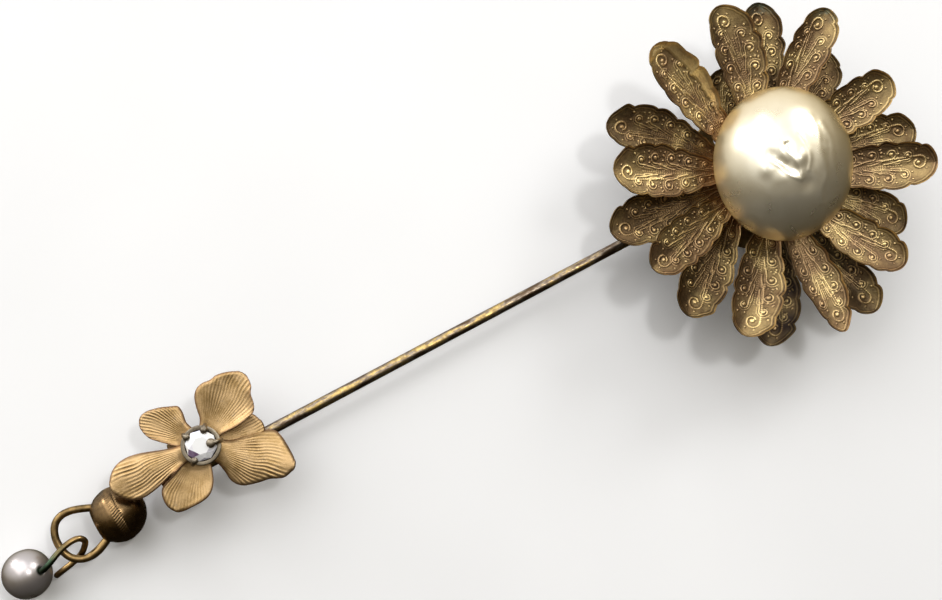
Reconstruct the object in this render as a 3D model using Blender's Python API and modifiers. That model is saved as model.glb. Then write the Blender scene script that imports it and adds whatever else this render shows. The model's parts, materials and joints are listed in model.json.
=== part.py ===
"""Hat pin with a two-layer flower head, a long shank and a slide-off blossom clutch.

Every separate piece is one named object. Lengths are written in millimetres and turned
into metres by MM. The origin is the centre of the plaque on the back of the head, the
shank runs along X with the clutch at -X, and +Z points out of the flower's face.
"""

import math

import bmesh
import bpy
from mathutils import Matrix, Vector

MM = 0.001
COLLECTION = "hat_pin"
CUTTERS = "cutters"
GAP = 0.1  # between pieces that touch or are soldered in the real pin
CUT_SPARE = 1.0  # how far cutters reach past what they cut

# Shank
SHANK_Z = 3.0
SHANK_Y = 0.3
SHANK_TIP_X = -74.4
SHANK_HEAD_X = 6.0
SHANK_TIP_R = 0.62
SHANK_HEAD_R = 0.56
POINT_LENGTH = 2.2
POINT_SHOULDER = (0.55, 0.45)  # parts of the tip radius and of the point's length
CHAMFER = 0.1
SOCKET_SPAN = (-9.0, 6.6)
SOCKET_BORE_R = 0.66
SOCKET_R = 1.05

# Head stack, from the back up
PLAQUE_SEMI = (5.5, 3.8)
PLAQUE_THICK = 0.8
PLAQUE_POST_R = 0.6
PLAQUE_POST_Y = 2.7
PLATE_Z = (4.9, 5.5)
PLATE_R = 8.5
PLATE_HOLES = 10
PLATE_HOLE_R = 0.95
PLATE_HOLE_CIRCLE_R = 5.9
SHEET = 0.45
LOWER_HUB_Z = 6.2
UPPER_HUB_Z = 8.1
ROSETTE_HOLE_R = 0.9
ROSETTE_HUB_R = 4.2
COLLAR_Z = (6.35, 7.5)
COLLAR_R = 3.2
RIVET_R = 0.6
RIVET_HEAD_R = 1.6
RIVET_HEAD_Z = (4.3, 4.75)
RIVET_HEAD_SLOPE = 0.25
RIVET_TOP_Z = 12.0
CUP_Z = 8.25
CUP_R = 4.2
CUP_WALL = 0.42

# Head pearl: a slightly oval button with its widest level nearer the petals
PEARL_SEMI = (7.75, 8.5)
PEARL_LONG_AXIS_DEG = 62.0
PEARL_BOTTOM_Z = 8.75
PEARL_WAIST_Z = 14.2
PEARL_TOP_Z = 20.8
PEARL_HOLE_R = 0.8
PEARL_HOLE_TOP_Z = 12.6
PEARL_ROWS = 9

# Stamped petals of the head: (direction in degrees, reach, tip height, sideways roll in degrees,
# sideways shift at the root, sideways bow at the middle)
PETAL_PITCH = 36.0
UPPER_FIRST = 9.7
LOWER_FIRST = -8.8
UPPER_PETALS = (
    (8.9, 16.6, 12.0, 4, 0.2, -0.1),
    (42.2, 19.2, 11.0, -4, 0.7, -0.3),
    (80.5, 18.9, 10.8, 0, -0.4, -0.9),
    (108.9, 18.9, 11.2, 7, -0.1, -1.0),
    (153.9, 18.3, 11.0, 0, -0.1, 0.2),
    (190.7, 18.3, 11.5, -5, -0.1, 0.1),
    (231.5, 19.0, 10.8, 4, 1.6, 0.7),
    (265.5, 19.7, 10.5, 0, -0.1, 0.6),
    (296.9, 18.3, 10.8, -3, 0.1, -0.6),
    (335.1, 19.0, 11.2, 4, 0.1, -0.1),
)
LOWER_PETALS = (  # two of these are bent in or down and hardly seen
    (-11.4, 18.7, 8.2, 0, -0.1, 0.1),
    (32.5, 16.0, 8.0, 3, 0.0, 0.0),
    (63.3, 19.3, 8.2, 0, 0.0, -0.3),
    (84.0, 12.6, 7.0, 0, 0.0, 0.0),
    (136.8, 19.0, 8.4, -3, 0.2, -0.7),
    (173.6, 19.4, 8.2, 4, -0.1, 0.4),
    (212.0, 18.8, 8.2, 0, -0.2, 0.4),
    (243.2, 19.6, 7.8, 3, 0.5, 0.8),
    (281.3, 20.1, 8.2, -4, 0.3, -0.3),
    (312.0, 17.3, 8.6, 0, 0.0, 0.3),
)
PETAL_HALF_WIDTH = 2.75
PETAL_WIDTHS = (  # part of the way from hub to tip, part of the half width
    (0.0, 0.34),
    (0.2, 0.56),
    (0.4, 0.84),
    (0.6, 1.0),
    (0.75, 0.95),
    (0.9, 0.68),
    (1.0, 0.3),
)
PETAL_CUP = 0.7
ROOT_EASE = 5.0  # how quickly a petal reaches its sideways shift
PETAL_ROWS = 9
PETAL_COLUMNS = 4
NOTCH_COLUMNS = 2

# Clutch ball, centred on the shank
BALL_X = -80.4
BALL_Y = 0.0
BALL_R = 3.0
BALL_WALL = 0.4
BALL_FLAT = 2.4
BALL_INNER_FLAT = 2.05
INNER_STEP_X = 0.6  # where the ring side's bore meets its lip
LIP_HALF = 0.45
LIP_R = 3.05
LIP_WALL = 0.2
TONGUE_WALL = 0.25
BALL_ROWS = 7
RING_SLOT_Y = 1.85
RING_SLOT_HALF = (0.8, 0.9, 0.85)

# Clutch grip and sleeve, as distances from the ball's centre. The sleeve is closed at the ball
GRIP_SPAN = (8.3, 10.1)
GRIP_BORE_R = 0.68
GRIP_R = 0.95
GRIP_SLIT = 0.3
SLEEVE_SPAN = (5.5, 10.3)
SLEEVE_CAP = 0.35
SLEEVE_BORE_R = 1.05
SLEEVE_R = 1.3

# Blossom bracket and blossom
BLOSSOM_X = BALL_X + 11.2
BLOSSOM_Y = 2.35
BRACKET_SPAN = (7.6, 9.7)  # as distances from the ball's centre
BRACKET_R = 1.75
BRACKET_TAB_Z = (4.5, 5.0)
# The tab's strips over the bracket, out to the rivet and back to the ball: (low corner, high corner)
BRACKET_STRIPS = (
    ((7.7, -0.3), (9.7, 4.1)),
    ((9.6, 1.2), (12.0, 4.1)),
    ((2.4, 1.3), (7.8, 2.7)),
)
BLOSSOM_RIVET_R = 0.4
BLOSSOM_RIVET_HEAD_R = 0.85
BLOSSOM_RIVET_HEAD_HIGH = 0.3
BLOSSOM_RIVET_HEAD_SLOPE = 0.15
BLOSSOM_RIVET_FLARE_R = 0.65
BLOSSOM_RIVET_FLARE_HIGH = 0.2
BLOSSOM_BACK_Z = 5.55
BLOSSOM_FRONT_Z = 6.3
# Petals: (direction in degrees, reach, left half width, right half width, tip height above its hub)
BACK_BLOSSOM_PETALS = (
    (-12.0, 6.8, 2.0, 2.0, 0.0),
    (126.0, 6.7, 2.4, 2.5, 0.4),
    (226.0, 7.4, 2.4, 2.3, 0.1),
)
FRONT_BLOSSOM_PETALS = (
    (31.0, 8.5, 3.2, 3.0, 0.9),
    (178.0, 10.1, 2.3, 2.3, 0.7),
    (318.0, 10.2, 3.2, 3.2, 0.5),
)
BLOSSOM_PETAL_WIDTHS = (
    (0.0, 0.42),
    (0.25, 0.66),
    (0.5, 1.0),
    (0.7, 0.92),
    (0.88, 0.6),
    (1.0, 0.22),
)
BACK_BLOSSOM_CUP = 0.1
FRONT_BLOSSOM_CUP = 0.5
BLOSSOM_SHEET = 0.4
BLOSSOM_ROOT_R = 1.68
BLOSSOM_ROWS = 7
BLOSSOM_COLUMNS = 4
BLOSSOM_FAN_DEG = 14.0  # between neighbouring spokes of a petal's root
STONE_CUP_Z = 6.45
STONE_CUP_FLOOR = 0.4
STONE_CUP_R = 2.15
STONE_CUP_FOOT_R = 1.55
STONE_CUP_WAIST = (1.9, 0.3)  # radius, and height above the foot
STONE_CUP_INNER_FOOT_R = 1.2
STONE_CUP_TOP_Z = 8.2
STONE_SEAT_R = 1.7
CLAW_DIRECTIONS = (-25.0, 60.0, 145.0, 235.0)
CLAW_R = 0.22
CLAW_ROOT = 0.5
CLAW_TOP_Z = 8.95
STONE_R = 1.5
STONE_TABLE_R = 0.85
STONE_GIRDLE_Z = 8.3
STONE_TABLE_Z = 8.8
STONE_CULET_Z = 7.3
GIRDLE_HALF = 0.08
STONE_SIDES = 16

# Pull ring, a rounded wire loop threaded through the flat end of the ball
RING_WIRE_R = 0.4
# Route of the ring's wire: distances from the ball's centre along X and Y
RING_ROUTE = (
    (-1.4, 0.1),
    (-1.55, 1.2),
    (-2.1, 1.85),
    (-2.8, 2.2),
    (-3.6, 2.5),
    (-4.45, 2.69),
    (-5.25, 2.66),
    (-6.0, 2.3),
    (-6.5, 1.65),
    (-6.78, 0.8),
    (-6.82, -0.1),
    (-6.65, -1.05),
    (-6.2, -1.85),
    (-5.45, -2.4),
    (-4.6, -2.6),
    (-3.6, -2.45),
    (-2.8, -2.14),
    (-2.1, -1.76),
    (-1.6, -1.1),
)

# Drop: an eye pin looped through the ring, glued into a half-drilled pearl
DROP_X = BALL_X - 11.04
DROP_Y = -1.12
DROP_R = 2.62
DROP_Z = 2.65
DROP_HOLE_R = 0.46
DROP_HOLE_DEPTH = 2.4
DROP_ROWS = 8
DROP_STEPS = 24
EYE_WIRE_R = 0.34
EYE_STRAIGHT = 2  # the route is straight up to this point, which sets the pearl's hole
# Route of the eye wire: distances from the ball's centre along X and Y, and height
EYE_ROUTE = (
    (-10.63, -1.20, 3.08),
    (-9.88, -1.34, 3.87),
    (-9.13, -1.49, 4.67),
    (-8.55, -1.33, 4.98),
    (-7.85, -1.05, 4.95),
    (-7.1, -0.70, 4.75),
    (-6.35, -0.42, 4.50),
    (-5.6, -0.26, 4.25),
    (-5.0, -0.24, 4.05),
    (-4.45, -0.42, 3.80),
    (-4.21, -0.90, 3.45),
    (-4.6, -1.40, 2.95),
    (-5.2, -1.85, 2.30),
    (-6.0, -2.20, 1.98),
    (-6.8, -2.40, 1.95),
    (-7.5, -2.52, 1.95),
    (-8.2, -2.66, 1.85),
    (-8.7, -2.74, 1.7),
)

TURN_STEPS = 32
FINE_STEPS = 20
COARSE_STEPS = 12
CLAW_STEPS = 8


def reset_scene():
    """Removes every object and makes the two collections."""
    for obj in list(bpy.data.objects):
        bpy.data.objects.remove(obj, do_unlink=True)
    for name in (COLLECTION, CUTTERS):
        collection = bpy.data.collections.new(name)
        bpy.context.scene.collection.children.link(collection)


def make_material(name, colour, metallic, roughness):
    """A Principled material with one colour."""
    material = bpy.data.materials.new(name)
    material.use_nodes = True
    shader = material.node_tree.nodes["Principled BSDF"]
    shader.inputs["Base Color"].default_value = (*colour, 1.0)
    shader.inputs["Metallic"].default_value = metallic
    shader.inputs["Roughness"].default_value = roughness
    return material


def add_object(name, mesh, material=None, collection=COLLECTION):
    """Puts a mesh or curve in the scene as a named object."""
    obj = bpy.data.objects.new(name, mesh)
    bpy.data.collections[collection].objects.link(obj)
    if material:
        mesh.materials.append(material)
    return obj


def mesh_from(name, bm):
    """Turns a bmesh into a mesh and frees it."""
    mesh = bpy.data.meshes.new(name)
    bm.to_mesh(mesh)
    bm.free()
    return mesh


def scaled(points):
    """Points in millimetres as vectors in metres."""
    return [Vector(point) * MM for point in points]


def turned(name, profile, material, closed=True, steps=TURN_STEPS):
    """A turned piece about local Z. The profile is (radius, height), down its outer side."""
    mesh = bpy.data.meshes.new(name)
    verts = scaled((radius, 0.0, height) for radius, height in profile)
    edges = [(i, i + 1) for i in range(len(verts) - 1)]
    if closed:
        edges.append((len(verts) - 1, 0))
    mesh.from_pydata(verts, edges, [])
    obj = add_object(name, mesh, material)
    screw = obj.modifiers.new("turn", "SCREW")
    screw.steps = steps
    screw.render_steps = steps
    screw.use_merge_vertices = True
    screw.merge_threshold = 0.000001
    screw.use_smooth_shade = True
    return obj


def lay_along_shank(obj, x, y=SHANK_Y):
    """Turns an object's local Z onto +X, on the shank's axis, with its origin at x."""
    obj.rotation_euler = (0.0, math.pi / 2.0, 0.0)
    obj.location = Vector((x, y, SHANK_Z)) * MM
    return obj


def tube_profile(bore, radius, low, high):
    """The closed profile of a plain tube."""
    return [(radius, high), (radius, low), (bore, low), (bore, high)]


def cylinder_into(bm, radius, low, high, centre=(0.0, 0.0), segments=FINE_STEPS):
    """Adds an upright closed cylinder to a bmesh."""
    place = Matrix.Translation(Vector((centre[0], centre[1], (low + high) / 2.0)) * MM)
    bmesh.ops.create_cone(
        bm,
        cap_ends=True,
        segments=segments,
        radius1=radius * MM,
        radius2=radius * MM,
        depth=(high - low) * MM,
        matrix=place,
    )


def box_into(bm, low, high):
    """Adds a closed box between two corners to a bmesh."""
    low = Vector(low) * MM
    high = Vector(high) * MM
    place = Matrix.Translation((low + high) / 2.0)
    place = place @ Matrix.Diagonal((*(high - low), 1.0))
    bmesh.ops.create_cube(bm, size=1.0, matrix=place)


def make_cutter(name, bm):
    """A guide object for a Boolean, shown as wire and never rendered."""
    cutter = add_object(name, mesh_from(name, bm), collection=CUTTERS)
    cutter.display_type = "WIRE"
    cutter.hide_render = True
    return cutter


def boolean(obj, cutter, operation):
    """Adds a Boolean modifier with the exact solver."""
    modifier = obj.modifiers.new(operation.lower(), "BOOLEAN")
    modifier.operation = operation
    modifier.object = cutter
    modifier.solver = "EXACT"


def blend_stations(stations, at):
    """Smoothly interpolates a short list of (place, value) stations."""
    for (x0, y0), (x1, y1) in zip(stations, stations[1:]):
        if at <= x1:
            t = (at - x0) / (x1 - x0)
            t = t * t * (3.0 - 2.0 * t)
            return y0 + (y1 - y0) * t
    return stations[-1][1]


def head_petal_point(petal, base_deg, hub_z, along, across):
    """A point of a head petal's upper face: along 0 to 1 from hub to tip, across -1 to 1."""
    tip_deg, reach, tip_z, roll, root, bow = petal
    radius = ROSETTE_HUB_R + (reach - ROSETTE_HUB_R) * along
    sway = tip_deg - base_deg
    angle = math.radians(base_deg + sway * along**1.2)
    half = PETAL_HALF_WIDTH * blend_stations(PETAL_WIDTHS, along)
    side = across * half
    shift = root * (1.0 - along) * min(1.0, along * ROOT_EASE) + bow * math.sin(math.pi * along)
    height = hub_z + (tip_z - hub_z) * (0.65 * along + 0.35 * along**2)
    height += PETAL_CUP * across**2 * blend_stations(PETAL_WIDTHS, along) * along
    height += side * math.sin(math.radians(roll)) * along
    side += shift
    x = radius * math.cos(angle) - side * math.sin(angle)
    y = radius * math.sin(angle) + side * math.cos(angle)
    return Vector((x, y, height)) * MM


def solidify(obj, thickness):
    """Gives a sheet its thickness, downward from its upper face."""
    modifier = obj.modifiers.new("sheet", "SOLIDIFY")
    modifier.thickness = thickness * MM
    modifier.offset = -1.0
    modifier.use_even_offset = False


def make_rosette(name, petals, first_deg, hub_z, material):
    """A ten-petal stamping: a flat hub with a rivet hole and petals that rise from its rim."""
    bm = bmesh.new()
    columns = PETAL_COLUMNS + NOTCH_COLUMNS
    count = len(petals) * columns
    step = 360.0 / count
    start_deg = first_deg - step * PETAL_COLUMNS / 2.0
    rings = []
    for radius in (ROSETTE_HOLE_R, (ROSETTE_HOLE_R + ROSETTE_HUB_R) / 2.0, ROSETTE_HUB_R):
        ring = []
        for i in range(count):
            angle = math.radians(start_deg + step * i)
            point = (radius * math.cos(angle), radius * math.sin(angle), hub_z)
            ring.append(bm.verts.new(Vector(point) * MM))
        rings.append(ring)
    for inner, outer in zip(rings, rings[1:]):
        for i in range(count):
            j = (i + 1) % count
            bm.faces.new((inner[i], outer[i], outer[j], inner[j]))
    for index, petal in enumerate(petals):
        base_deg = first_deg + PETAL_PITCH * index
        first = index * columns
        previous = [rings[-1][(first + k) % count] for k in range(PETAL_COLUMNS + 1)]
        for row in range(1, PETAL_ROWS + 1):
            along = row / PETAL_ROWS
            line = []
            for k in range(PETAL_COLUMNS + 1):
                across = 2.0 * k / PETAL_COLUMNS - 1.0
                line.append(bm.verts.new(head_petal_point(petal, base_deg, hub_z, along, across)))
            for k in range(PETAL_COLUMNS):
                bm.faces.new((previous[k], line[k], line[k + 1], previous[k + 1]))
            previous = line
    obj = add_object(name, mesh_from(name, bm), material)
    solidify(obj, SHEET)
    return obj


def blossom_petal_point(petal, hub_z, cup, along, across):
    """A point of a blossom petal's upper face, about the blossom's own centre."""
    direction, reach, left, right, rise = petal
    distance = BLOSSOM_ROOT_R + (reach - BLOSSOM_ROOT_R) * along
    half = left if across > 0.0 else right
    side = across * half * blend_stations(BLOSSOM_PETAL_WIDTHS, along)
    height = hub_z + rise * along**1.5 + cup * across**2 * math.sin(math.pi * along)
    angle = math.radians(direction)
    x = distance * math.cos(angle) - side * math.sin(angle)
    y = distance * math.sin(angle) + side * math.cos(angle)
    return Vector((BLOSSOM_X + x, BLOSSOM_Y + y, height)) * MM


def make_blossom(name, petals, hub_z, cup, material):
    """A three-petal stamping: a small hub with a rivet hole and three broad petals."""
    rows, columns = BLOSSOM_ROWS, BLOSSOM_COLUMNS
    bm = bmesh.new()
    hole = BLOSSOM_RIVET_R + GAP
    angles = []
    for petal in petals:
        for k in range(columns + 1):
            angles.append(petal[0] + (k - columns / 2.0) * BLOSSOM_FAN_DEG)
    centre = Vector((BLOSSOM_X, BLOSSOM_Y, hub_z))
    inner = []
    outer = []
    for index, petal in enumerate(petals):
        for k in range(columns + 1):
            angle = math.radians(angles[index * (columns + 1) + k])
            spoke = Vector((math.cos(angle), math.sin(angle), 0.0))
            inner.append(bm.verts.new((centre + spoke * hole) * MM))
            across = 2.0 * k / columns - 1.0
            outer.append(bm.verts.new(blossom_petal_point(petal, hub_z, cup, 0.0, across)))
    count = len(inner)
    for i in range(count):
        j = (i + 1) % count
        bm.faces.new((inner[i], outer[i], outer[j], inner[j]))
    for index, petal in enumerate(petals):
        first = index * (columns + 1)
        previous = outer[first : first + columns + 1]
        for row in range(1, rows + 1):
            line = []
            for k in range(columns + 1):
                across = 2.0 * k / columns - 1.0
                point = blossom_petal_point(petal, hub_z, cup, row / rows, across)
                line.append(bm.verts.new(point))
            for k in range(columns):
                bm.faces.new((previous[k], line[k], line[k + 1], previous[k + 1]))
            previous = line
    obj = add_object(name, mesh_from(name, bm), material)
    solidify(obj, BLOSSOM_SHEET)
    return obj


def make_shank(material):
    """A long wire: its point lies inside the clutch sleeve, its other end in the head's socket."""
    length = SHANK_HEAD_X - SHANK_TIP_X
    profile = [
        (0.0, length),
        (SHANK_HEAD_R - CHAMFER, length),
        (SHANK_HEAD_R, length - CHAMFER),
        (SHANK_TIP_R, POINT_LENGTH),
        (SHANK_TIP_R * POINT_SHOULDER[0], POINT_LENGTH * POINT_SHOULDER[1]),
        (0.0, 0.0),
    ]
    obj = turned("shank", profile, material, closed=False, steps=FINE_STEPS)
    lay_along_shank(obj, SHANK_TIP_X)


def make_socket(material):
    """The tube soldered under the head that holds the shank."""
    low, high = SOCKET_SPAN
    profile = tube_profile(SOCKET_BORE_R, SOCKET_R, 0.0, high - low)
    lay_along_shank(turned("shank_socket", profile, material), low)


def make_plaque(material):
    """The plain oval plaque that the head rests on, with two posts up to the back plate."""
    bm = bmesh.new()
    cylinder_into(bm, 1.0, 0.0, PLAQUE_THICK, segments=TURN_STEPS)
    bmesh.ops.scale(bm, vec=(*PLAQUE_SEMI, 1.0), verts=bm.verts)
    obj = add_object("back_plaque", mesh_from("back_plaque", bm), material)
    low, high = PLAQUE_THICK / 2.0, PLATE_Z[0] - GAP
    for index, side in enumerate((-1.0, 1.0)):
        post = bmesh.new()
        centre = (0.0, side * PLAQUE_POST_Y)
        cylinder_into(post, PLAQUE_POST_R, low, high, centre, COARSE_STEPS)
        boolean(obj, make_cutter(f"plaque_post_{index}", post), "UNION")


def make_back_plate(material):
    """The pierced disc that the rosettes are riveted to."""
    low, high = PLATE_Z
    obj = turned("back_plate", tube_profile(RIVET_R + GAP, PLATE_R, low, high), material)
    holes = bmesh.new()
    for index in range(PLATE_HOLES):
        angle = 2.0 * math.pi * index / PLATE_HOLES
        centre = [PLATE_HOLE_CIRCLE_R * part for part in (math.cos(angle), math.sin(angle))]
        cylinder_into(holes, PLATE_HOLE_R, low - CUT_SPARE, high + CUT_SPARE, centre, COARSE_STEPS)
    boolean(obj, make_cutter("plate_holes", holes), "DIFFERENCE")


def make_collar(material):
    """The washer that keeps the two rosettes apart."""
    low, high = COLLAR_Z
    turned("rosette_collar", tube_profile(RIVET_R + GAP, COLLAR_R, low, high), material)


def make_head_rivet(material):
    """The rivet through the whole head, whose upper end is the pearl's peg."""
    head_low, head_high = RIVET_HEAD_Z
    profile = [
        (0.0, RIVET_TOP_Z),
        (RIVET_R - CHAMFER, RIVET_TOP_Z),
        (RIVET_R, RIVET_TOP_Z - CHAMFER),
        (RIVET_R, head_high),
        (RIVET_HEAD_R, head_high),
        (RIVET_HEAD_R - RIVET_HEAD_SLOPE, head_low),
        (0.0, head_low),
    ]
    turned("head_rivet", profile, material, closed=False, steps=FINE_STEPS)


def pearl_lower_height(radius):
    """Height of the head pearl's lower side at a radius, for its mean radius."""
    mean = (PEARL_SEMI[0] + PEARL_SEMI[1]) / 2.0
    depth = PEARL_WAIST_Z - PEARL_BOTTOM_Z
    return PEARL_WAIST_Z - depth * math.sqrt(1.0 - (radius / mean) ** 2)


def make_pearl_cup(material):
    """The shallow dished cup that the pearl sits in."""
    radii = [RIVET_R + GAP + (CUP_R - RIVET_R - GAP) * i / 5.0 for i in range(6)]
    upper = [(r, pearl_lower_height(r) - GAP) for r in radii]
    lower = [(r, max(CUP_Z, h - CUP_WALL)) for r, h in upper]
    profile = [upper[-1]] + lower[::-1] + upper[:-1]
    turned("pearl_cup", profile, material)


def make_head_pearl(material):
    """The big pearl, half drilled from below for its peg."""
    mean = (PEARL_SEMI[0] + PEARL_SEMI[1]) / 2.0
    start = math.asin(PEARL_HOLE_R / mean)
    profile = [(0.0, PEARL_TOP_Z)]
    rows = PEARL_ROWS
    for i in range(1, rows):
        angle = 0.5 * math.pi * i / rows
        height = PEARL_WAIST_Z + (PEARL_TOP_Z - PEARL_WAIST_Z) * math.cos(angle)
        profile.append((mean * math.sin(angle), height))
    for i in range(rows):
        angle = 0.5 * math.pi + (0.5 * math.pi - start) * i / (rows - 1)
        height = PEARL_WAIST_Z + (PEARL_WAIST_Z - PEARL_BOTTOM_Z) * math.cos(angle)
        profile.append((mean * math.sin(angle), height))
    profile.append((PEARL_HOLE_R, PEARL_HOLE_TOP_Z))
    profile.append((0.0, PEARL_HOLE_TOP_Z))
    obj = turned("head_pearl", profile, material, closed=False)
    obj.scale = (PEARL_SEMI[1] / mean, PEARL_SEMI[0] / mean, 1.0)
    obj.rotation_euler = (0.0, 0.0, math.radians(PEARL_LONG_AXIS_DEG))


def arc(radius, start_deg, end_deg, count):
    """Points (radius from the axis, distance along it) of an arc about the ball's centre."""
    points = []
    for i in range(count):
        angle = math.radians(start_deg + (end_deg - start_deg) * i / (count - 1))
        points.append((radius * math.sin(angle), radius * math.cos(angle)))
    return points


def make_ball(material):
    """Two half shells. The ring side's lip is crimped over the stem side's edge."""
    inner_r = BALL_R - BALL_WALL
    lip_low_deg = math.degrees(math.acos(-LIP_HALF / BALL_R))
    flat_deg = math.degrees(math.acos(-BALL_FLAT / BALL_R))
    inner_flat = BALL_INNER_FLAT
    inner_flat_deg = math.degrees(math.acos(-inner_flat / inner_r))
    profile = [(LIP_R, LIP_HALF), (LIP_R, -LIP_HALF)]
    profile += arc(BALL_R, lip_low_deg, flat_deg, BALL_ROWS)
    profile += [(0.0, -BALL_FLAT), (0.0, -inner_flat)]
    profile += arc(inner_r, inner_flat_deg, math.degrees(math.acos(-INNER_STEP_X / inner_r)), BALL_ROWS)
    profile += [(LIP_R - LIP_WALL, -LIP_HALF), (LIP_R - LIP_WALL, LIP_HALF)]
    ring_side = turned("ball_shell_ring_side", profile, material)
    lay_along_shank(ring_side, BALL_X, BALL_Y)
    slots = bmesh.new()
    half = RING_SLOT_HALF
    for side in (-1.0, 1.0):
        middle = Vector((BALL_X - BALL_FLAT, side * RING_SLOT_Y, SHANK_Z))
        box_into(slots, middle - Vector(half), middle + Vector(half))
    boolean(ring_side, make_cutter("ring_slots", slots), "DIFFERENCE")

    tongue_r = LIP_R - LIP_WALL - GAP
    edge = LIP_HALF + GAP
    outer = arc(BALL_R, 0.0, math.degrees(math.acos(edge / BALL_R)), BALL_ROWS)
    inner = arc(inner_r, math.degrees(math.acos(edge / inner_r)), 0.0, BALL_ROWS)
    profile = outer + [(tongue_r, edge), (tongue_r, -LIP_HALF + GAP)]
    profile += [(tongue_r - TONGUE_WALL, -LIP_HALF + GAP)] + inner
    lay_along_shank(turned("ball_shell_stem_side", profile, material), BALL_X, BALL_Y)


def make_grip(material):
    """The slit spring tube inside the sleeve that grips the shank."""
    low, high = GRIP_SPAN
    obj = turned("grip_spring", tube_profile(GRIP_BORE_R, GRIP_R, low, high), material)
    lay_along_shank(obj, BALL_X)
    slit = bmesh.new()
    half = GRIP_SLIT / 2.0
    box_into(
        slit,
        (BALL_X + low - CUT_SPARE, SHANK_Y - half, SHANK_Z),
        (BALL_X + high + CUT_SPARE, SHANK_Y + half, SHANK_Z + GRIP_R + CUT_SPARE),
    )
    boolean(obj, make_cutter("grip_slit", slit), "DIFFERENCE")


def make_sleeve(material):
    """The capped tube that slips over the shank's point and carries the blossom."""
    low, high = SLEEVE_SPAN
    length = high - low
    profile = [
        (SLEEVE_BORE_R, length),
        (SLEEVE_R, length),
        (SLEEVE_R, CHAMFER),
        (SLEEVE_R - CHAMFER, 0.0),
        (0.0, 0.0),
        (0.0, SLEEVE_CAP),
        (SLEEVE_BORE_R, SLEEVE_CAP),
    ]
    lay_along_shank(turned("clutch_sleeve", profile, material), BALL_X + low)


def make_bracket(material):
    """A collar round the sleeve with strips to the blossom's rivet and to the ball."""
    low, high = BRACKET_SPAN
    profile = tube_profile(SLEEVE_R + GAP, BRACKET_R, 0.0, high - low)
    obj = turned("blossom_bracket", profile, material)
    lay_along_shank(obj, BALL_X + low)
    low_z, high_z = BRACKET_TAB_Z
    for index, (corner, far) in enumerate(BRACKET_STRIPS):
        strip = bmesh.new()
        box_into(strip, (BALL_X + corner[0], corner[1], low_z), (BALL_X + far[0], far[1], high_z))
        boolean(obj, make_cutter(f"bracket_strip_{index}", strip), "UNION")
    hole = bmesh.new()
    centre = (BLOSSOM_X, BLOSSOM_Y)
    low_z -= 2.0 * GAP
    cylinder_into(hole, BLOSSOM_RIVET_R + GAP, low_z, high_z + CUT_SPARE, centre, COARSE_STEPS)
    boolean(obj, make_cutter("bracket_hole", hole), "DIFFERENCE")


def make_blossom_rivet(material):
    """The rivet that holds bracket, both blossom layers and the stone's cup together."""
    under = BRACKET_TAB_Z[0] - GAP
    over = STONE_CUP_Z + STONE_CUP_FLOOR + GAP
    profile = [
        (0.0, over + BLOSSOM_RIVET_FLARE_HIGH),
        (BLOSSOM_RIVET_FLARE_R, over + BLOSSOM_RIVET_FLARE_HIGH),
        (BLOSSOM_RIVET_FLARE_R, over),
        (BLOSSOM_RIVET_R, over),
        (BLOSSOM_RIVET_R, under),
        (BLOSSOM_RIVET_HEAD_R, under),
        (BLOSSOM_RIVET_HEAD_R - BLOSSOM_RIVET_HEAD_SLOPE, under - BLOSSOM_RIVET_HEAD_HIGH),
        (0.0, under - BLOSSOM_RIVET_HEAD_HIGH),
    ]
    obj = turned("blossom_rivet", profile, material, closed=False, steps=COARSE_STEPS)
    obj.location = Vector((BLOSSOM_X, BLOSSOM_Y, 0.0)) * MM


def make_stone_cup(material):
    """The open cup round the rhinestone, with four claws bent over its edge."""
    floor_z = STONE_CUP_Z + STONE_CUP_FLOOR
    hole = BLOSSOM_RIVET_R + GAP
    profile = [
        (STONE_CUP_R, STONE_CUP_TOP_Z),
        (STONE_CUP_WAIST[0], STONE_CUP_Z + STONE_CUP_WAIST[1]),
        (STONE_CUP_FOOT_R, STONE_CUP_Z),
        (hole, STONE_CUP_Z),
        (hole, floor_z),
        (STONE_CUP_INNER_FOOT_R, floor_z),
        (STONE_SEAT_R, STONE_CUP_TOP_Z),
    ]
    obj = turned("stone_cup", profile, material)
    obj.location = Vector((BLOSSOM_X, BLOSSOM_Y, 0.0)) * MM
    distance = (STONE_SEAT_R + STONE_CUP_R) / 2.0
    for index, direction in enumerate(CLAW_DIRECTIONS):
        claw = bmesh.new()
        angle = math.radians(direction)
        x = BLOSSOM_X + distance * math.cos(angle)
        y = BLOSSOM_Y + distance * math.sin(angle)
        cylinder_into(claw, CLAW_R, STONE_CUP_TOP_Z - CLAW_ROOT, CLAW_TOP_Z, (x, y), CLAW_STEPS)
        boolean(obj, make_cutter(f"claw_{index}", claw), "UNION")


def make_rhinestone(material):
    """A round-cut stone: table, crown, girdle and pavilion."""
    profile = [
        (0.0, STONE_TABLE_Z),
        (STONE_TABLE_R, STONE_TABLE_Z),
        (STONE_R, STONE_GIRDLE_Z + GIRDLE_HALF),
        (STONE_R, STONE_GIRDLE_Z - GIRDLE_HALF),
        (0.0, STONE_CULET_Z),
    ]
    obj = turned("rhinestone", profile, material, closed=False, steps=STONE_SIDES)
    obj.location = Vector((BLOSSOM_X, BLOSSOM_Y, 0.0)) * MM


def wire(name, points, radius, material, cyclic=False):
    """A round wire along points in millimetres, with closed ends."""
    curve = bpy.data.curves.new(name, "CURVE")
    curve.dimensions = "3D"
    curve.bevel_depth = radius * MM
    curve.bevel_resolution = 2
    curve.use_fill_caps = not cyclic
    curve.twist_mode = "MINIMUM"
    spline = curve.splines.new("POLY")
    spline.points.add(len(points) - 1)
    for place, point in zip(spline.points, scaled(points)):
        place.co = (*point, 1.0)
    spline.use_cyclic_u = cyclic
    return add_object(name, curve, material)


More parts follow.
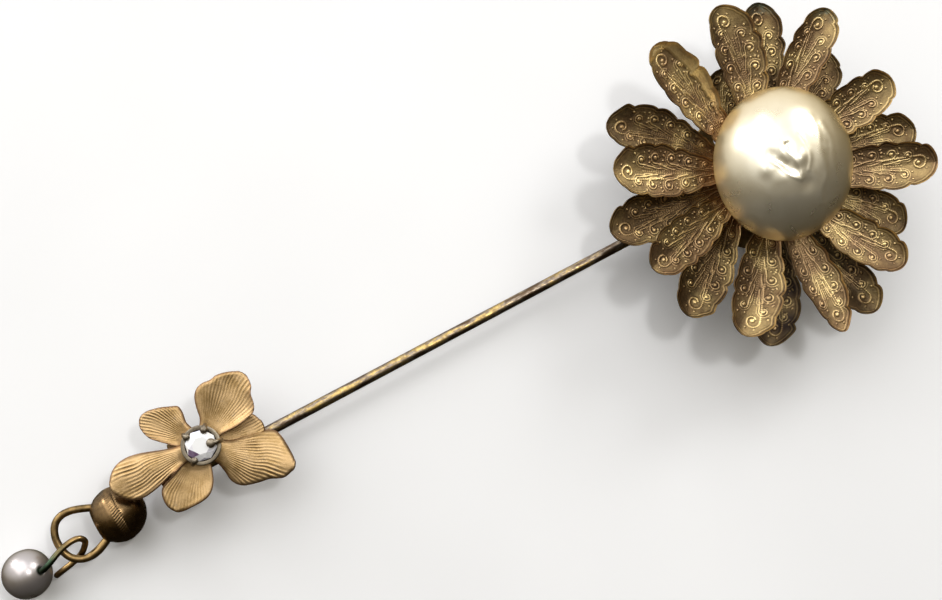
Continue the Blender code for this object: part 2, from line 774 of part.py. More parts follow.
def smooth_route(points, steps, cyclic=False):
    """A smooth curve through the points, as a denser list (Catmull-Rom)."""
    route = [Vector(point) for point in points]
    if cyclic:
        ends = [route[-1]] + route + route[:2]
    else:
        ends = [route[0] * 2.0 - route[1]] + route + [route[-1] * 2.0 - route[-2]]
    dense = []
    for i in range(1, len(ends) - 2):
        a, b, c, d = ends[i - 1 : i + 3]
        for k in range(steps):
            t = k / steps
            linear = (c - a) * t
            square = (a * 2.0 - b * 5.0 + c * 4.0 - d) * t**2
            cube = (b * 3.0 - a - c * 3.0 + d) * t**3
            dense.append(b + (linear + square + cube) * 0.5)
    if not cyclic:
        dense.append(route[-1])
    return dense


def make_pull_ring(material):
    """The loop that swings in the ball's two slots."""
    route = [(BALL_X + x, y, SHANK_Z) for x, y in RING_ROUTE]
    wire("pull_ring", smooth_route(route, 2, cyclic=True), RING_WIRE_R, material, cyclic=True)


def make_eye_pin(material):
    """The eye pin: its loop passes over and under the ring, its end goes into the pearl."""
    route = [(BALL_X + x, y, z) for x, y, z in EYE_ROUTE]
    wire("drop_eye_pin", smooth_route(route, 2), EYE_WIRE_R, material)


def make_drop_pearl(material):
    """The small drop pearl, half drilled towards its eye pin."""
    rows = DROP_ROWS
    start = math.asin(DROP_HOLE_R / DROP_R)
    mouth = DROP_R * math.cos(start)
    profile = [(0.0, mouth - DROP_HOLE_DEPTH), (DROP_HOLE_R, mouth - DROP_HOLE_DEPTH)]
    for i in range(2 * rows):
        angle = start + (math.pi - start) * i / (2 * rows)
        profile.append((DROP_R * math.sin(angle), DROP_R * math.cos(angle)))
    profile.append((0.0, -DROP_R))
    obj = turned("drop_pearl", profile, material, closed=False, steps=DROP_STEPS)
    centre = Vector((DROP_X, DROP_Y, DROP_Z))
    entry = Vector((BALL_X, 0.0, 0.0)) + Vector(EYE_ROUTE[EYE_STRAIGHT])
    obj.rotation_mode = "QUATERNION"
    obj.rotation_quaternion = (entry - centre).to_track_quat("Z", "Y")
    obj.location = centre * MM


def build():
    reset_scene()
    antique_gilt = make_material("antique_gilt", (0.36, 0.25, 0.11), 1.0, 0.5)
    worn_gilt = make_material("worn_gilt", (0.42, 0.30, 0.13), 1.0, 0.35)
    matte_gilt = make_material("matte_gilt", (0.52, 0.36, 0.15), 1.0, 0.5)
    dark_brass = make_material("dark_brass", (0.24, 0.15, 0.07), 1.0, 0.35)
    spring_steel = make_material("spring_steel", (0.50, 0.48, 0.45), 1.0, 0.4)
    pewter = make_material("pewter", (0.30, 0.28, 0.24), 1.0, 0.45)
    cream_pearl = make_material("cream_pearl", (0.84, 0.78, 0.62), 0.0, 0.2)
    grey_pearl = make_material("grey_pearl", (0.60, 0.56, 0.54), 0.0, 0.25)
    clear_stone = make_material("clear_stone", (0.90, 0.90, 0.95), 0.0, 0.05)

    make_shank(worn_gilt)
    make_socket(antique_gilt)
    make_plaque(antique_gilt)
    make_back_plate(antique_gilt)
    make_rosette("lower_rosette", LOWER_PETALS, LOWER_FIRST, LOWER_HUB_Z, antique_gilt)
    make_collar(antique_gilt)
    make_rosette("upper_rosette", UPPER_PETALS, UPPER_FIRST, UPPER_HUB_Z, antique_gilt)
    make_head_rivet(dark_brass)
    make_pearl_cup(antique_gilt)
    make_head_pearl(cream_pearl)

    make_grip(spring_steel)
    make_ball(dark_brass)
    make_sleeve(dark_brass)
    make_bracket(dark_brass)
    back = (BACK_BLOSSOM_PETALS, BLOSSOM_BACK_Z, BACK_BLOSSOM_CUP)
    front = (FRONT_BLOSSOM_PETALS, BLOSSOM_FRONT_Z, FRONT_BLOSSOM_CUP)
    make_blossom("blossom_back_layer", *back, matte_gilt)
    make_blossom("blossom_front_layer", *front, matte_gilt)
    make_blossom_rivet(dark_brass)
    make_stone_cup(pewter)
    make_rhinestone(clear_stone)

    make_pull_ring(dark_brass)
    make_eye_pin(dark_brass)
    make_drop_pearl(grey_pearl)


build()
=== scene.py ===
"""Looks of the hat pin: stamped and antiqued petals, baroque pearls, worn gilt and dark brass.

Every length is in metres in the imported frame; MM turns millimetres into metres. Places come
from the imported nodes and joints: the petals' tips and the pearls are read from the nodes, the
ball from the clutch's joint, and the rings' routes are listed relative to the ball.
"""

import json
import math

import bmesh
import bpy
import numpy as np
from mathutils import Matrix, Vector


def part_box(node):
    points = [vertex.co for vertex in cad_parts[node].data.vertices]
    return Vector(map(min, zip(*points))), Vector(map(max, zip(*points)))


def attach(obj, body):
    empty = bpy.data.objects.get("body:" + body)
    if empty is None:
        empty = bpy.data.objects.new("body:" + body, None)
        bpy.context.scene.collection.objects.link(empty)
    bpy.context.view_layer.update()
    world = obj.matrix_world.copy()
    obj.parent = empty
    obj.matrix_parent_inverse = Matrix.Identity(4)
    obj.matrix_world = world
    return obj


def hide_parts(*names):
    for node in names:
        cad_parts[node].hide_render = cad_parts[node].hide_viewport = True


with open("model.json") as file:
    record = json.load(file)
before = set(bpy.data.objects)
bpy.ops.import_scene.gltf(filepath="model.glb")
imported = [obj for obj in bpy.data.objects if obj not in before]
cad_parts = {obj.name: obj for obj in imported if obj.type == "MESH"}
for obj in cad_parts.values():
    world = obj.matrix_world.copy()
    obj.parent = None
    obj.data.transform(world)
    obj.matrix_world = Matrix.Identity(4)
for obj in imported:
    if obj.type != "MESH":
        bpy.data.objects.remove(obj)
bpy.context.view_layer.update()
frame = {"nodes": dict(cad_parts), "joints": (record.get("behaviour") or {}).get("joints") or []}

MM = 0.001


# ---------------------------------------------------------------- frame readings


def node_points(node):
    """A CAD node's vertices in millimetres."""
    mesh = frame["nodes"][node].data
    points = np.zeros(len(mesh.vertices) * 3)
    mesh.vertices.foreach_get("co", points)
    return points.reshape(-1, 3) / MM


def centre_of(node):
    """The middle of a CAD node's box, in millimetres."""
    low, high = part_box(node)
    return np.array((low + high) / 2.0) / MM


def joint_place(name):
    """A joint's position from the record, in millimetres."""
    joint = next(j for j in frame["joints"] if j["name"] == name)
    return np.array(joint["pos_m"]) / MM


SPIN = joint_place("clutch_spin")
BALL = SPIN * np.array((1.0, 0.0, 1.0))
BALL_R = BALL[2]
HUB_R = 4.2
PETAL_COUNT = 10
PETAL_PITCH = 360.0 / PETAL_COUNT


def read_petals(node, first_deg):
    """Direction, reach and tip height of each petal of a CAD rosette, from its outermost points."""
    points = node_points(node)
    radius = np.hypot(points[:, 0], points[:, 1])
    angle = np.degrees(np.arctan2(points[:, 1], points[:, 0]))
    petals = []
    for index in range(PETAL_COUNT):
        base = first_deg + PETAL_PITCH * index
        offset = (angle - base + 180.0) % 360.0 - 180.0
        near = np.abs(offset) < PETAL_PITCH / 2.0
        reach = radius[near].max()
        tip = near & (radius > reach - 0.35)
        petals.append(
            {
                "base": base,
                "tip": base + float(offset[tip].mean()),
                "reach": float(reach),
                "tip_z": float(points[tip, 2].max()),
            }
        )
    return petals


# ---------------------------------------------------------------- mesh helpers


def smooth_stations(stations, at):
    """A smooth curve through a short list of (place, value), read at an array of places."""
    xs = np.array([s[0] for s in stations], float)
    ys = np.array([s[1] for s in stations], float)
    slopes = np.gradient(ys, xs)
    at = np.clip(np.asarray(at, float), xs[0], xs[-1])
    i = np.clip(np.searchsorted(xs, at) - 1, 0, len(xs) - 2)
    span = xs[i + 1] - xs[i]
    t = (at - xs[i]) / span
    a = ys[i] * (2 * t**3 - 3 * t**2 + 1) + ys[i + 1] * (3 * t**2 - 2 * t**3)
    b = slopes[i] * (t**3 - 2 * t**2 + t) + slopes[i + 1] * (t**3 - t**2)
    return a + b * span


def value_noise(points, cell, seed):
    """Smooth noise from -1 to 1 at points, with blobs about one cell across."""
    table = np.random.default_rng(seed).uniform(-1.0, 1.0, 4096)
    p = np.asarray(points, float) / cell + 1000.0
    base = np.floor(p).astype(np.int64)
    f = p - base
    f = f * f * (3.0 - 2.0 * f)
    total = np.zeros(p.shape[:-1])
    for corner in np.ndindex(*(2,) * p.shape[-1]):
        weight = np.ones(p.shape[:-1])
        key = np.zeros(p.shape[:-1], np.int64)
        for axis, step in enumerate(corner):
            share = f[..., axis]
            weight = weight * (share if step else 1.0 - share)
            key = key * 7919 + (base[..., axis] + step) * (104729 + axis * 31)
        total += weight * table[key % len(table)]
    return total


def face_outward(mesh):
    """Turns a closed mesh's faces round if they point inward."""
    mesh.calc_loop_triangles()
    corners = np.zeros(len(mesh.loop_triangles) * 3, np.int32)
    mesh.loop_triangles.foreach_get("vertices", corners)
    points = np.zeros(len(mesh.vertices) * 3)
    mesh.vertices.foreach_get("co", points)
    a, b, c = points.reshape(-1, 3)[corners.reshape(-1, 3)].transpose(1, 0, 2)
    if np.einsum("ij,ij->i", a, np.cross(b, c)).sum() < 0.0:
        mesh.flip_normals()


def add_piece(name, points, faces, body, nodes, slot, material, values=None, sharp=None):
    """Makes a mesh from millimetre points, shades it smooth and puts it on its body."""
    mesh = bpy.data.meshes.new(name)
    mesh.from_pydata((np.asarray(points) * MM).tolist(), [], faces)
    face_outward(mesh)
    mesh.shade_smooth()
    if sharp is not None:
        mesh.set_sharp_from_angle(angle=math.radians(sharp))
    for key, data in (values or {}).items():
        domain = "POINT" if len(data) == len(mesh.vertices) else "FACE"
        attribute = mesh.attributes.new(key, "FLOAT", domain)
        attribute.data.foreach_set("value", np.asarray(data, np.float32))
    mesh.materials.append(material)
    piece = bpy.data.objects.new(name, mesh)
    bpy.context.scene.collection.objects.link(piece)
    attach(piece, body)
    if nodes:
        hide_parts(*nodes)
    return piece


def joined(*parts):
    """Several (points, faces) shapes as one."""
    points, faces, start = [], [], 0
    for part_points, part_faces in parts:
        points.append(np.asarray(part_points, float))
        faces += [tuple(start + i for i in face) for face in part_faces]
        start += len(part_points)
    return np.concatenate(points), faces


def cut_out(piece, shapes):
    """Cuts closed shapes out of a piece with an exact Boolean, and keeps the result."""
    points, faces = joined(*shapes)
    mesh = bpy.data.meshes.new("cutter")
    mesh.from_pydata((points * MM).tolist(), [], faces)
    face_outward(mesh)
    cutter = bpy.data.objects.new("cutter", mesh)
    bpy.context.scene.collection.objects.link(cutter)
    modifier = piece.modifiers.new("cut", "BOOLEAN")
    modifier.object = cutter
    modifier.solver = "EXACT"
    depsgraph = bpy.context.evaluated_depsgraph_get()
    result = bpy.data.meshes.new_from_object(piece.evaluated_get(depsgraph), depsgraph=depsgraph)
    piece.modifiers.clear()
    piece.data = result
    result.set_sharp_from_angle(angle=math.radians(40.0))
    bpy.data.objects.remove(cutter)


def block(low, high):
    """A closed box between two corners."""
    low, high = np.array(low, float), np.array(high, float)
    points = [low + (high - low) * np.array(corner) for corner in np.ndindex(2, 2, 2)]
    faces = [(0, 1, 3, 2), (4, 6, 7, 5), (0, 4, 5, 1), (2, 3, 7, 6), (0, 2, 6, 4), (1, 5, 7, 3)]
    return np.array(points), faces


def smooth_route(points, steps, cyclic=False):
    """A smooth curve through the points, as a denser array (Catmull-Rom)."""
    route = [np.array(point, float) for point in points]
    if cyclic:
        ends = [route[-1]] + route + route[:2]
    else:
        ends = [route[0] * 2.0 - route[1]] + route + [route[-1] * 2.0 - route[-2]]
    dense = []
    for i in range(1, len(ends) - 2):
        a, b, c, d = ends[i - 1 : i + 3]
        for k in range(steps):
            t = k / steps
            linear = (c - a) * t
            square = (a * 2.0 - b * 5.0 + c * 4.0 - d) * t**2
            cube = (b * 3.0 - a - c * 3.0 + d) * t**3
            dense.append(b + (linear + square + cube) * 0.5)
    if not cyclic:
        dense.append(route[-1])
    return np.array(dense)


def grid_faces(rows, columns, start=0, wrap=False, flip=False):
    """Quads of a grid of points stored row by row."""
    faces = []
    last = columns if wrap else columns - 1
    for r in range(rows - 1):
        for c in range(last):
            d = (c + 1) % columns
            quad = (r * columns + c, (r + 1) * columns + c, (r + 1) * columns + d, r * columns + d)
            quad = tuple(start + q for q in quad)
            faces.append(quad[::-1] if flip else quad)
    return faces


def sheet_solid(top, drop, coarse=2):
    """A closed sheet: a fine upper grid, and a lower grid coarser by a whole number."""
    rows, columns = top.shape[:2]
    low = (top - drop)[::coarse, ::coarse]
    low_rows, low_columns = low.shape[:2]
    points = np.concatenate([top.reshape(-1, 3), low.reshape(-1, 3)])
    start = rows * columns
    faces = grid_faces(rows, columns, flip=True)
    faces += grid_faces(low_rows, low_columns, start)
    fine = [(0, c) for c in range(columns)]
    fine += [(r, columns - 1) for r in range(1, rows)]
    fine += [(rows - 1, c) for c in range(columns - 2, -1, -1)]
    fine += [(r, 0) for r in range(rows - 2, 0, -1)]
    count = len(fine)
    upper = [r * columns + c for r, c in fine]
    lower = [
        start + (r // coarse) * low_columns + c // coarse
        for r, c in fine
    ]
    for i in range(0, count, coarse):
        j = (i + coarse) % count
        ring = [upper[(i + k) % count] for k in range(coarse + 1)]
        faces.append(tuple([lower[j], lower[i]] + ring))
    return points, faces


def turned(profile, steps, axis="z", centre=(0.0, 0.0, 0.0), closed=True):
    """Points and faces of a turned shape from (radius, height) pairs, down the outer side.

    With closed False the profile's two ends lie on the axis."""
    body = profile if closed else profile[1:-1]
    angles = 2.0 * math.pi * np.arange(steps) / steps
    rings = []
    for radius, height in body:
        ring = [radius * np.cos(angles), radius * np.sin(angles), np.full(steps, height)]
        rings.append(np.stack(ring, axis=1))
    points = np.concatenate(rings)
    count = len(body)
    faces = grid_faces(count, steps, wrap=True)
    if closed:
        for c in range(steps):
            d = (c + 1) % steps
            faces.append(((count - 1) * steps + c, c, d, (count - 1) * steps + d))
    else:
        first = len(points)
        poles = [(0.0, 0.0, profile[0][1]), (0.0, 0.0, profile[-1][1])]
        points = np.concatenate([points, np.array(poles)])
        for c in range(steps):
            d = (c + 1) % steps
            faces.append((first, c, d))
            faces.append((first + 1, (count - 1) * steps + d, (count - 1) * steps + c))
    if axis == "x":
        points = points[:, [2, 1, 0]] * np.array((1.0, 1.0, -1.0))
    return points + np.array(centre), faces


def rounded(profile, radius, steps=4, closed=True):
    """Rounds the corners of a (radius, height) profile with short curves."""
    count = len(profile)
    result = []
    for i, corner in enumerate(profile):
        corner = np.array(corner, float)
        if not closed and i in (0, count - 1):
            result.append(tuple(corner))
            continue
        before = np.array(profile[i - 1], float)
        after = np.array(profile[(i + 1) % count], float)
        reach_in = min(radius, np.linalg.norm(before - corner) * 0.45)
        reach_out = min(radius, np.linalg.norm(after - corner) * 0.45)
        a = corner + (before - corner) / np.linalg.norm(before - corner) * reach_in
        b = corner + (after - corner) / np.linalg.norm(after - corner) * reach_out
        for k in range(steps + 1):
            t = k / steps
            result.append(tuple(a * (1 - t) ** 2 + corner * 2 * t * (1 - t) + b * t**2))
    return result


def tube(points, radii, sides, wrap=False):
    """A round tube along points, with its own radius at each; its ends are closed."""
    points = np.asarray(points, float)
    count = len(points)
    radii = np.broadcast_to(radii, (count,))
    if wrap:
        ahead = np.roll(points, -1, axis=0) - np.roll(points, 1, axis=0)
    else:
        ahead = np.gradient(points, axis=0)
    ahead /= np.linalg.norm(ahead, axis=1)[:, None]
    side = np.cross(ahead[0], (0.0, 0.0, 1.0))
    if np.linalg.norm(side) < 0.1:
        side = np.cross(ahead[0], (0.0, 1.0, 0.0))
    angles = 2.0 * math.pi * np.arange(sides) / sides
    rings = []
    for i in range(count):
        side = side - ahead[i] * (side @ ahead[i])
        side /= np.linalg.norm(side)
        up = np.cross(side, ahead[i])
        ring = np.outer(np.cos(angles), side) + np.outer(np.sin(angles), up)
        rings.append(points[i] + ring * radii[i])
    verts = np.concatenate(rings)
    faces = grid_faces(count, sides, wrap=True)
    if wrap:
        for c in range(sides):
            d = (c + 1) % sides
            faces.append(((count - 1) * sides + c, c, d, (count - 1) * sides + d))
    else:
        faces.append(tuple(range(sides)))
        faces.append(tuple((count - 1) * sides + c for c in reversed(range(sides))))
    return verts, faces


# ---------------------------------------------------------------- materials


class Nodes:
    """A small builder for a material's node tree."""

    def __init__(self, name):
        self.material = bpy.data.materials.new(name)
        self.material.use_nodes = True
        self.tree = self.material.node_tree
        self.shader = self.tree.nodes["Principled BSDF"]
        coordinates = self.tree.nodes.new("ShaderNodeTexCoord")
        self.place = coordinates.outputs["Object"]

    def set(self, **sockets):
        for key, value in sockets.items():
            self.shader.inputs[key.replace("_", " ")].default_value = value

    def link(self, source, socket):
        self.tree.links.new(source, self.shader.inputs[socket])

    def noise(self, size_mm, detail=4.0, roughness=0.55, distortion=0.0, place=None):
        node = self.tree.nodes.new("ShaderNodeTexNoise")
        node.inputs["Scale"].default_value = 1.0 / (size_mm * MM)
        node.inputs["Detail"].default_value = detail
        node.inputs["Roughness"].default_value = roughness
        node.inputs["Distortion"].default_value = distortion
        self.tree.links.new(place or self.place, node.inputs["Vector"])
        return node.outputs["Fac"]

    def cells(self, size_mm):
        node = self.tree.nodes.new("ShaderNodeTexVoronoi")
        node.inputs["Scale"].default_value = 1.0 / (size_mm * MM)
        self.tree.links.new(self.place, node.inputs["Vector"])
        return node.outputs["Distance"]

    def stretched(self, scale):
        node = self.tree.nodes.new("ShaderNodeMapping")
        node.inputs["Scale"].default_value = scale
        self.tree.links.new(self.place, node.inputs["Vector"])
        return node.outputs["Vector"]

    def value(self, name):
        node = self.tree.nodes.new("ShaderNodeAttribute")
        node.attribute_name = name
        return node.outputs["Fac"]

    def ramp(self, source, stops):
        """A colour ramp; each stop is (place, colour) or (place, number)."""
        node = self.tree.nodes.new("ShaderNodeValToRGB")
        elements = node.color_ramp.elements
        for index, (place, colour) in enumerate(stops):
            if not hasattr(colour, "__len__"):
                colour = (colour, colour, colour)
            element = elements[index] if index < 2 else elements.new(place)
            element.position = place
            element.color = (*colour, 1.0)
        self.tree.links.new(source, node.inputs["Fac"])
        return node.outputs["Color"]

    def mix(self, factor, a, b, mode="MIX"):
        node = self.tree.nodes.new("ShaderNodeMix")
        node.data_type = "RGBA"
        node.blend_type = mode
        for socket, item in ((node.inputs[0], factor), (node.inputs[6], a), (node.inputs[7], b)):
            if isinstance(item, bpy.types.NodeSocket):
                self.tree.links.new(item, socket)
            elif hasattr(item, "__len__"):
                socket.default_value = (*item, 1.0)
            else:
                socket.default_value = item
        return node.outputs[2]

    def sum(self, a, b, share_a=1.0, share_b=1.0):
        first = self.math("MULTIPLY", a, share_a)
        second = self.math("MULTIPLY", b, share_b)
        return self.math("ADD", first, second)

    def math(self, operation, a, b):
        node = self.tree.nodes.new("ShaderNodeMath")
        node.operation = operation
        for socket, item in zip(node.inputs, (a, b)):
            if isinstance(item, bpy.types.NodeSocket):
                self.tree.links.new(item, socket)
            else:
                socket.default_value = item
        return node.outputs[0]

    def bump(self, height, depth_mm, strength=1.0):
        node = self.tree.nodes.new("ShaderNodeBump")
        node.inputs["Distance"].default_value = depth_mm * MM
        node.inputs["Strength"].default_value = strength
        self.tree.links.new(height, node.inputs["Height"])
        self.tree.links.new(node.outputs["Normal"], self.shader.inputs["Normal"])


def petal_metal(name, ground, mid, ridge, cavity_and_shade, patina):
    """Antiqued stamped gilt: dark round the relief, worn bright on ridges and rims; its cavity colour also
    serves as painted shade on shaded petals, undersides and cut edges.
    """
    m = Nodes(name)
    relief = m.value("relief")
    patch = m.noise(4.2, 4.0, 0.55)
    wear = m.noise(1.1, 5.0, 0.65)
    sand = m.noise(0.16, 2.0, 0.6)
    tide = m.noise(2.3, 3.0, 0.6)
    level = m.sum(relief, m.sum(wear, m.sum(sand, tide, 0.22, 0.42), 0.42, 1.0), 0.72, 1.0)
    base = m.ramp(level, ((0.42, ground), (0.68, mid), (1.05, ridge), (1.4, ridge)))
    # Cavity colour where the value is high: real patina round the relief, and painted shade on petals in
    # shadow, undersides and cut edges.
    patina_and_shade = m.math("MULTIPLY", m.value("patina_and_shade"), 0.85)
    base = m.mix(patina_and_shade, base, cavity_and_shade)
    base = m.mix(m.ramp(patch, ((0.44, 0.95), (0.60, 0.0))), base, patina, "MULTIPLY")
    base = m.mix(m.math("MULTIPLY", m.value("root"), 0.55), base, (0.60, 0.27, 0.09))
    green = m.ramp(m.noise(0.8, 4.0), ((0.40, 0.0), (0.55, 1.0)))
    green = m.math("MULTIPLY", green, m.value("verdigris"))
    base = m.mix(green, base, (0.16, 0.24, 0.20))
    m.link(base, "Base Color")
    shine = m.sum(relief, wear, -0.30, 0.35)
    m.link(m.ramp(shine, ((-0.1, 0.36), (0.25, 0.56))), "Roughness")
    m.set(Metallic=0.9)
    m.bump(m.sum(sand, m.cells(0.17), 1.0, 0.6), 0.03, 0.8)
    return m.material


def satin_metal(name, dark, light, roughness):
    """Plain aged metal with blotches, fine grain and uneven gloss."""
    m = Nodes(name)
    blotch = m.noise(2.2, 5.0, 0.6)
    fine = m.noise(0.3, 3.0, 0.6)
    base = m.ramp(m.sum(blotch, fine, 0.8, 0.25), ((0.36, dark), (0.66, light)))
    base = m.mix(m.value("verdigris"), base, (0.025, 0.055, 0.035))
    m.link(base, "Base Color")
    rough = ((0.3, roughness * 0.8), (0.7, roughness * 1.25))
    m.link(m.ramp(m.noise(0.8, 4.0), rough), "Roughness")
    m.set(Metallic=1.0)
    m.bump(fine, 0.012, 0.6)
    return m.material


def blossom_metal():
    """Matte warm gilt, browner and purplish in the vein grooves, with painted shade along the turned edges
    and the underside.
    """
    m = Nodes("blossom_matte_gilt")
    blotch = m.noise(2.4, 5.0, 0.6)
    fine = m.noise(0.14, 3.0, 0.6)
    level = m.sum(m.value("relief"), m.sum(blotch, fine, 1.15, 0.3), 0.42, 1.0)
    stops = ((0.40, (0.20, 0.115, 0.05)), (0.80, (0.42, 0.27, 0.11)), (1.30, (0.64, 0.44, 0.22)))
    base = m.ramp(level, stops)
    stain = m.ramp(m.noise(0.7, 4.0, 0.7), ((0.60, 0.0), (0.74, 0.6)))
    base = m.mix(stain, base, (0.20, 0.17, 0.14))
    # Dark brown along the turned edges and on the underside: painted shade.
    base = m.mix(m.math("MULTIPLY", m.value("rim"), 0.85), base, (0.20, 0.095, 0.055))
    m.link(base, "Base Color")
    m.link(m.ramp(blotch, ((0.3, 0.44), (0.7, 0.58))), "Roughness")
    m.set(Metallic=0.9)
    m.bump(m.sum(fine, m.cells(0.15), 1.0, 0.4), 0.018, 0.8)
    return m.material


def shank_metal():
    """Gilt wire worn and tarnished in streaks along its length."""
    m = Nodes("shank_worn_gilt")
    streaks = m.noise(1.0, 5.0, 0.65, place=m.stretched((0.35, 1.6, 1.6)))
    spots = m.noise(0.5, 4.0, 0.6)
    gold = (0.60, 0.43, 0.16)
    brown = (0.13, 0.085, 0.05)
    steel = (0.30, 0.25, 0.20)
    base = m.ramp(streaks, ((0.42, brown), (0.51, steel), (0.60, gold), (0.75, gold)))
    base = m.mix(m.ramp(spots, ((0.42, 0.0), (0.62, 0.55))), base, brown)
    m.link(base, "Base Color")
    m.link(m.ramp(spots, ((0.3, 0.28), (0.7, 0.5))), "Roughness")
    m.set(Metallic=1.0)
    m.bump(spots, 0.02, 0.6)
    return m.material


def pearl_lacquer(name, light, shade, roughness, metallic, coat):
    """Imitation pearl: milky lacquer with small cloudy variations; towards its outline the colour turns
    darker and warmer as painted shade and a painted reflection of the gilt round it.
    """
    m = Nodes(name)
    clouds = m.noise(3.0, 4.0, 0.55, distortion=0.6)
    facing = m.tree.nodes.new("ShaderNodeLayerWeight")
    facing.inputs["Blend"].default_value = 0.35
    # Facing ramp from the light colour in the middle to the shade colour at the outline: painted shade and
    # painted reflection.
    body = m.ramp(facing.outputs["Facing"], ((0.0, light), (0.75, shade)))
    tint = m.ramp(clouds, ((0.35, (0.93, 0.91, 0.86)), (0.65, (1.0, 1.0, 1.0))))
    base = m.mix(0.8, body, tint, "MULTIPLY")
    base = m.mix(m.value("verdigris"), base, (0.05, 0.09, 0.04))
    m.link(base, "Base Color")
    m.link(m.ramp(clouds, ((0.3, roughness * 0.85), (0.7, roughness * 1.2))), "Roughness")
    m.set(Metallic=metallic, Coat_Weight=coat, Coat_Roughness=0.24, Coat_IOR=1.6)
    m.bump(m.noise(1.1, 2.0, 0.5), 0.006, 0.3)
    return m.material


def stone_glass():
    """Foiled cut glass: mirror-bright facets, painted white, smoky or violet one by one as painted
    reflections.
    """
    m = Nodes("foiled_stone")
    cloud = m.noise(0.5, 2.0)
    # Per-facet value with a little noise: painted reflections, violet-dark to white.
    tone = m.sum(m.value("tone"), cloud, 1.0, 0.2)
    violet, pale = (0.16, 0.08, 0.18), (0.80, 0.78, 0.90)
    base = m.ramp(tone, ((0.1, violet), (0.45, pale), (0.8, (1.0, 1.0, 1.0))))
    m.link(base, "Base Color")
    m.link(m.ramp(m.noise(0.4, 3.0), ((0.3, 0.04), (0.7, 0.12))), "Roughness")
    m.set(Metallic=0.25, Coat_Weight=1.0, Coat_Roughness=0.02)
    return m.material


UPPER_METAL = petal_metal(
    "upper_petal_gilt",
    (0.19, 0.135, 0.062),
    (0.45, 0.32, 0.14),
    (0.90, 0.68, 0.31),
    (0.045, 0.032, 0.028),
    (0.52, 0.45, 0.50),
)
LOWER_METAL = petal_metal(
    "lower_petal_gilt",
    (0.14, 0.10, 0.045),
    (0.37, 0.26, 0.11),
    (0.84, 0.62, 0.27),
    (0.03, 0.022, 0.02),
    (0.48, 0.42, 0.45),
)
BACK_METAL = satin_metal("back_antique_gilt", (0.20, 0.13, 0.06), (0.50, 0.35, 0.15), 0.42)
BLOSSOM_METAL = blossom_metal()
DARK_METAL = satin_metal("dark_brass", (0.10, 0.062, 0.03), (0.26, 0.165, 0.075), 0.26)
WIRE_METAL = satin_metal("wire_brass", (0.13, 0.085, 0.035), (0.40, 0.26, 0.105), 0.34)
CUP_METAL = satin_metal("grey_plating", (0.12, 0.095, 0.07), (0.36, 0.31, 0.23), 0.4)
SPRING_METAL = satin_metal("spring_steel", (0.30, 0.29, 0.27), (0.55, 0.53, 0.50), 0.35)
SHANK_METAL = shank_metal()
HEAD_PEARL = pearl_lacquer("cream_pearl", (0.88, 0.82, 0.66), (0.76, 0.56, 0.23), 0.30, 0.78, 0.45)
DROP_PEARL = pearl_lacquer("grey_pearl", (0.56, 0.52, 0.52), (0.34, 0.30, 0.26), 0.30, 0.8, 0.45)
STONE = stone_glass()


# ---------------------------------------------------------------- stamped head petals

PETAL_HALF_WIDTH = 2.78
PETAL_WIDTHS = (
    (0.0, 0.34),
    (0.2, 0.54),
    (0.4, 0.84),
    (0.6, 1.0),
    (0.75, 0.97),
    (0.9, 0.80),
    (1.0, 0.66),
)
PETAL_CUP = 0.95
PETAL_SHEET = 0.32
RELIEF_HIGH = 0.12
RELIEF_MEAN = 0.35
NOMINAL_LENGTH = 15.0
PETAL_ROWS = 201
PETAL_COLUMNS = 81


def hook_route(start, centre, radius, side, turn=265.0, tighten=0.3):
    """A scroll: a stem that leaves the middle lines and curls round a bead at its centre."""
    cx, cy = centre
    inner = np.array((cx, cy - radius))
    t = np.linspace(0.0, 1.0, 40)
    ease = t * t * (3.0 - 2.0 * t)
    stem = np.stack([start[0] + (inner[0] - start[0]) * t, start[1] + (inner[1] - start[1]) * ease])
    angle = np.radians(-90.0 + np.linspace(0.0, turn, 50))
    shrink = radius * (1.0 - tighten * np.linspace(0.0, 1.0, 50) ** 1.5)
    curl = np.stack([cx + shrink * np.cos(angle), cy + shrink * np.sin(angle)])
    route = np.concatenate([stem, curl[:, 1:]], axis=1).T
    return route * np.array((1.0, side))


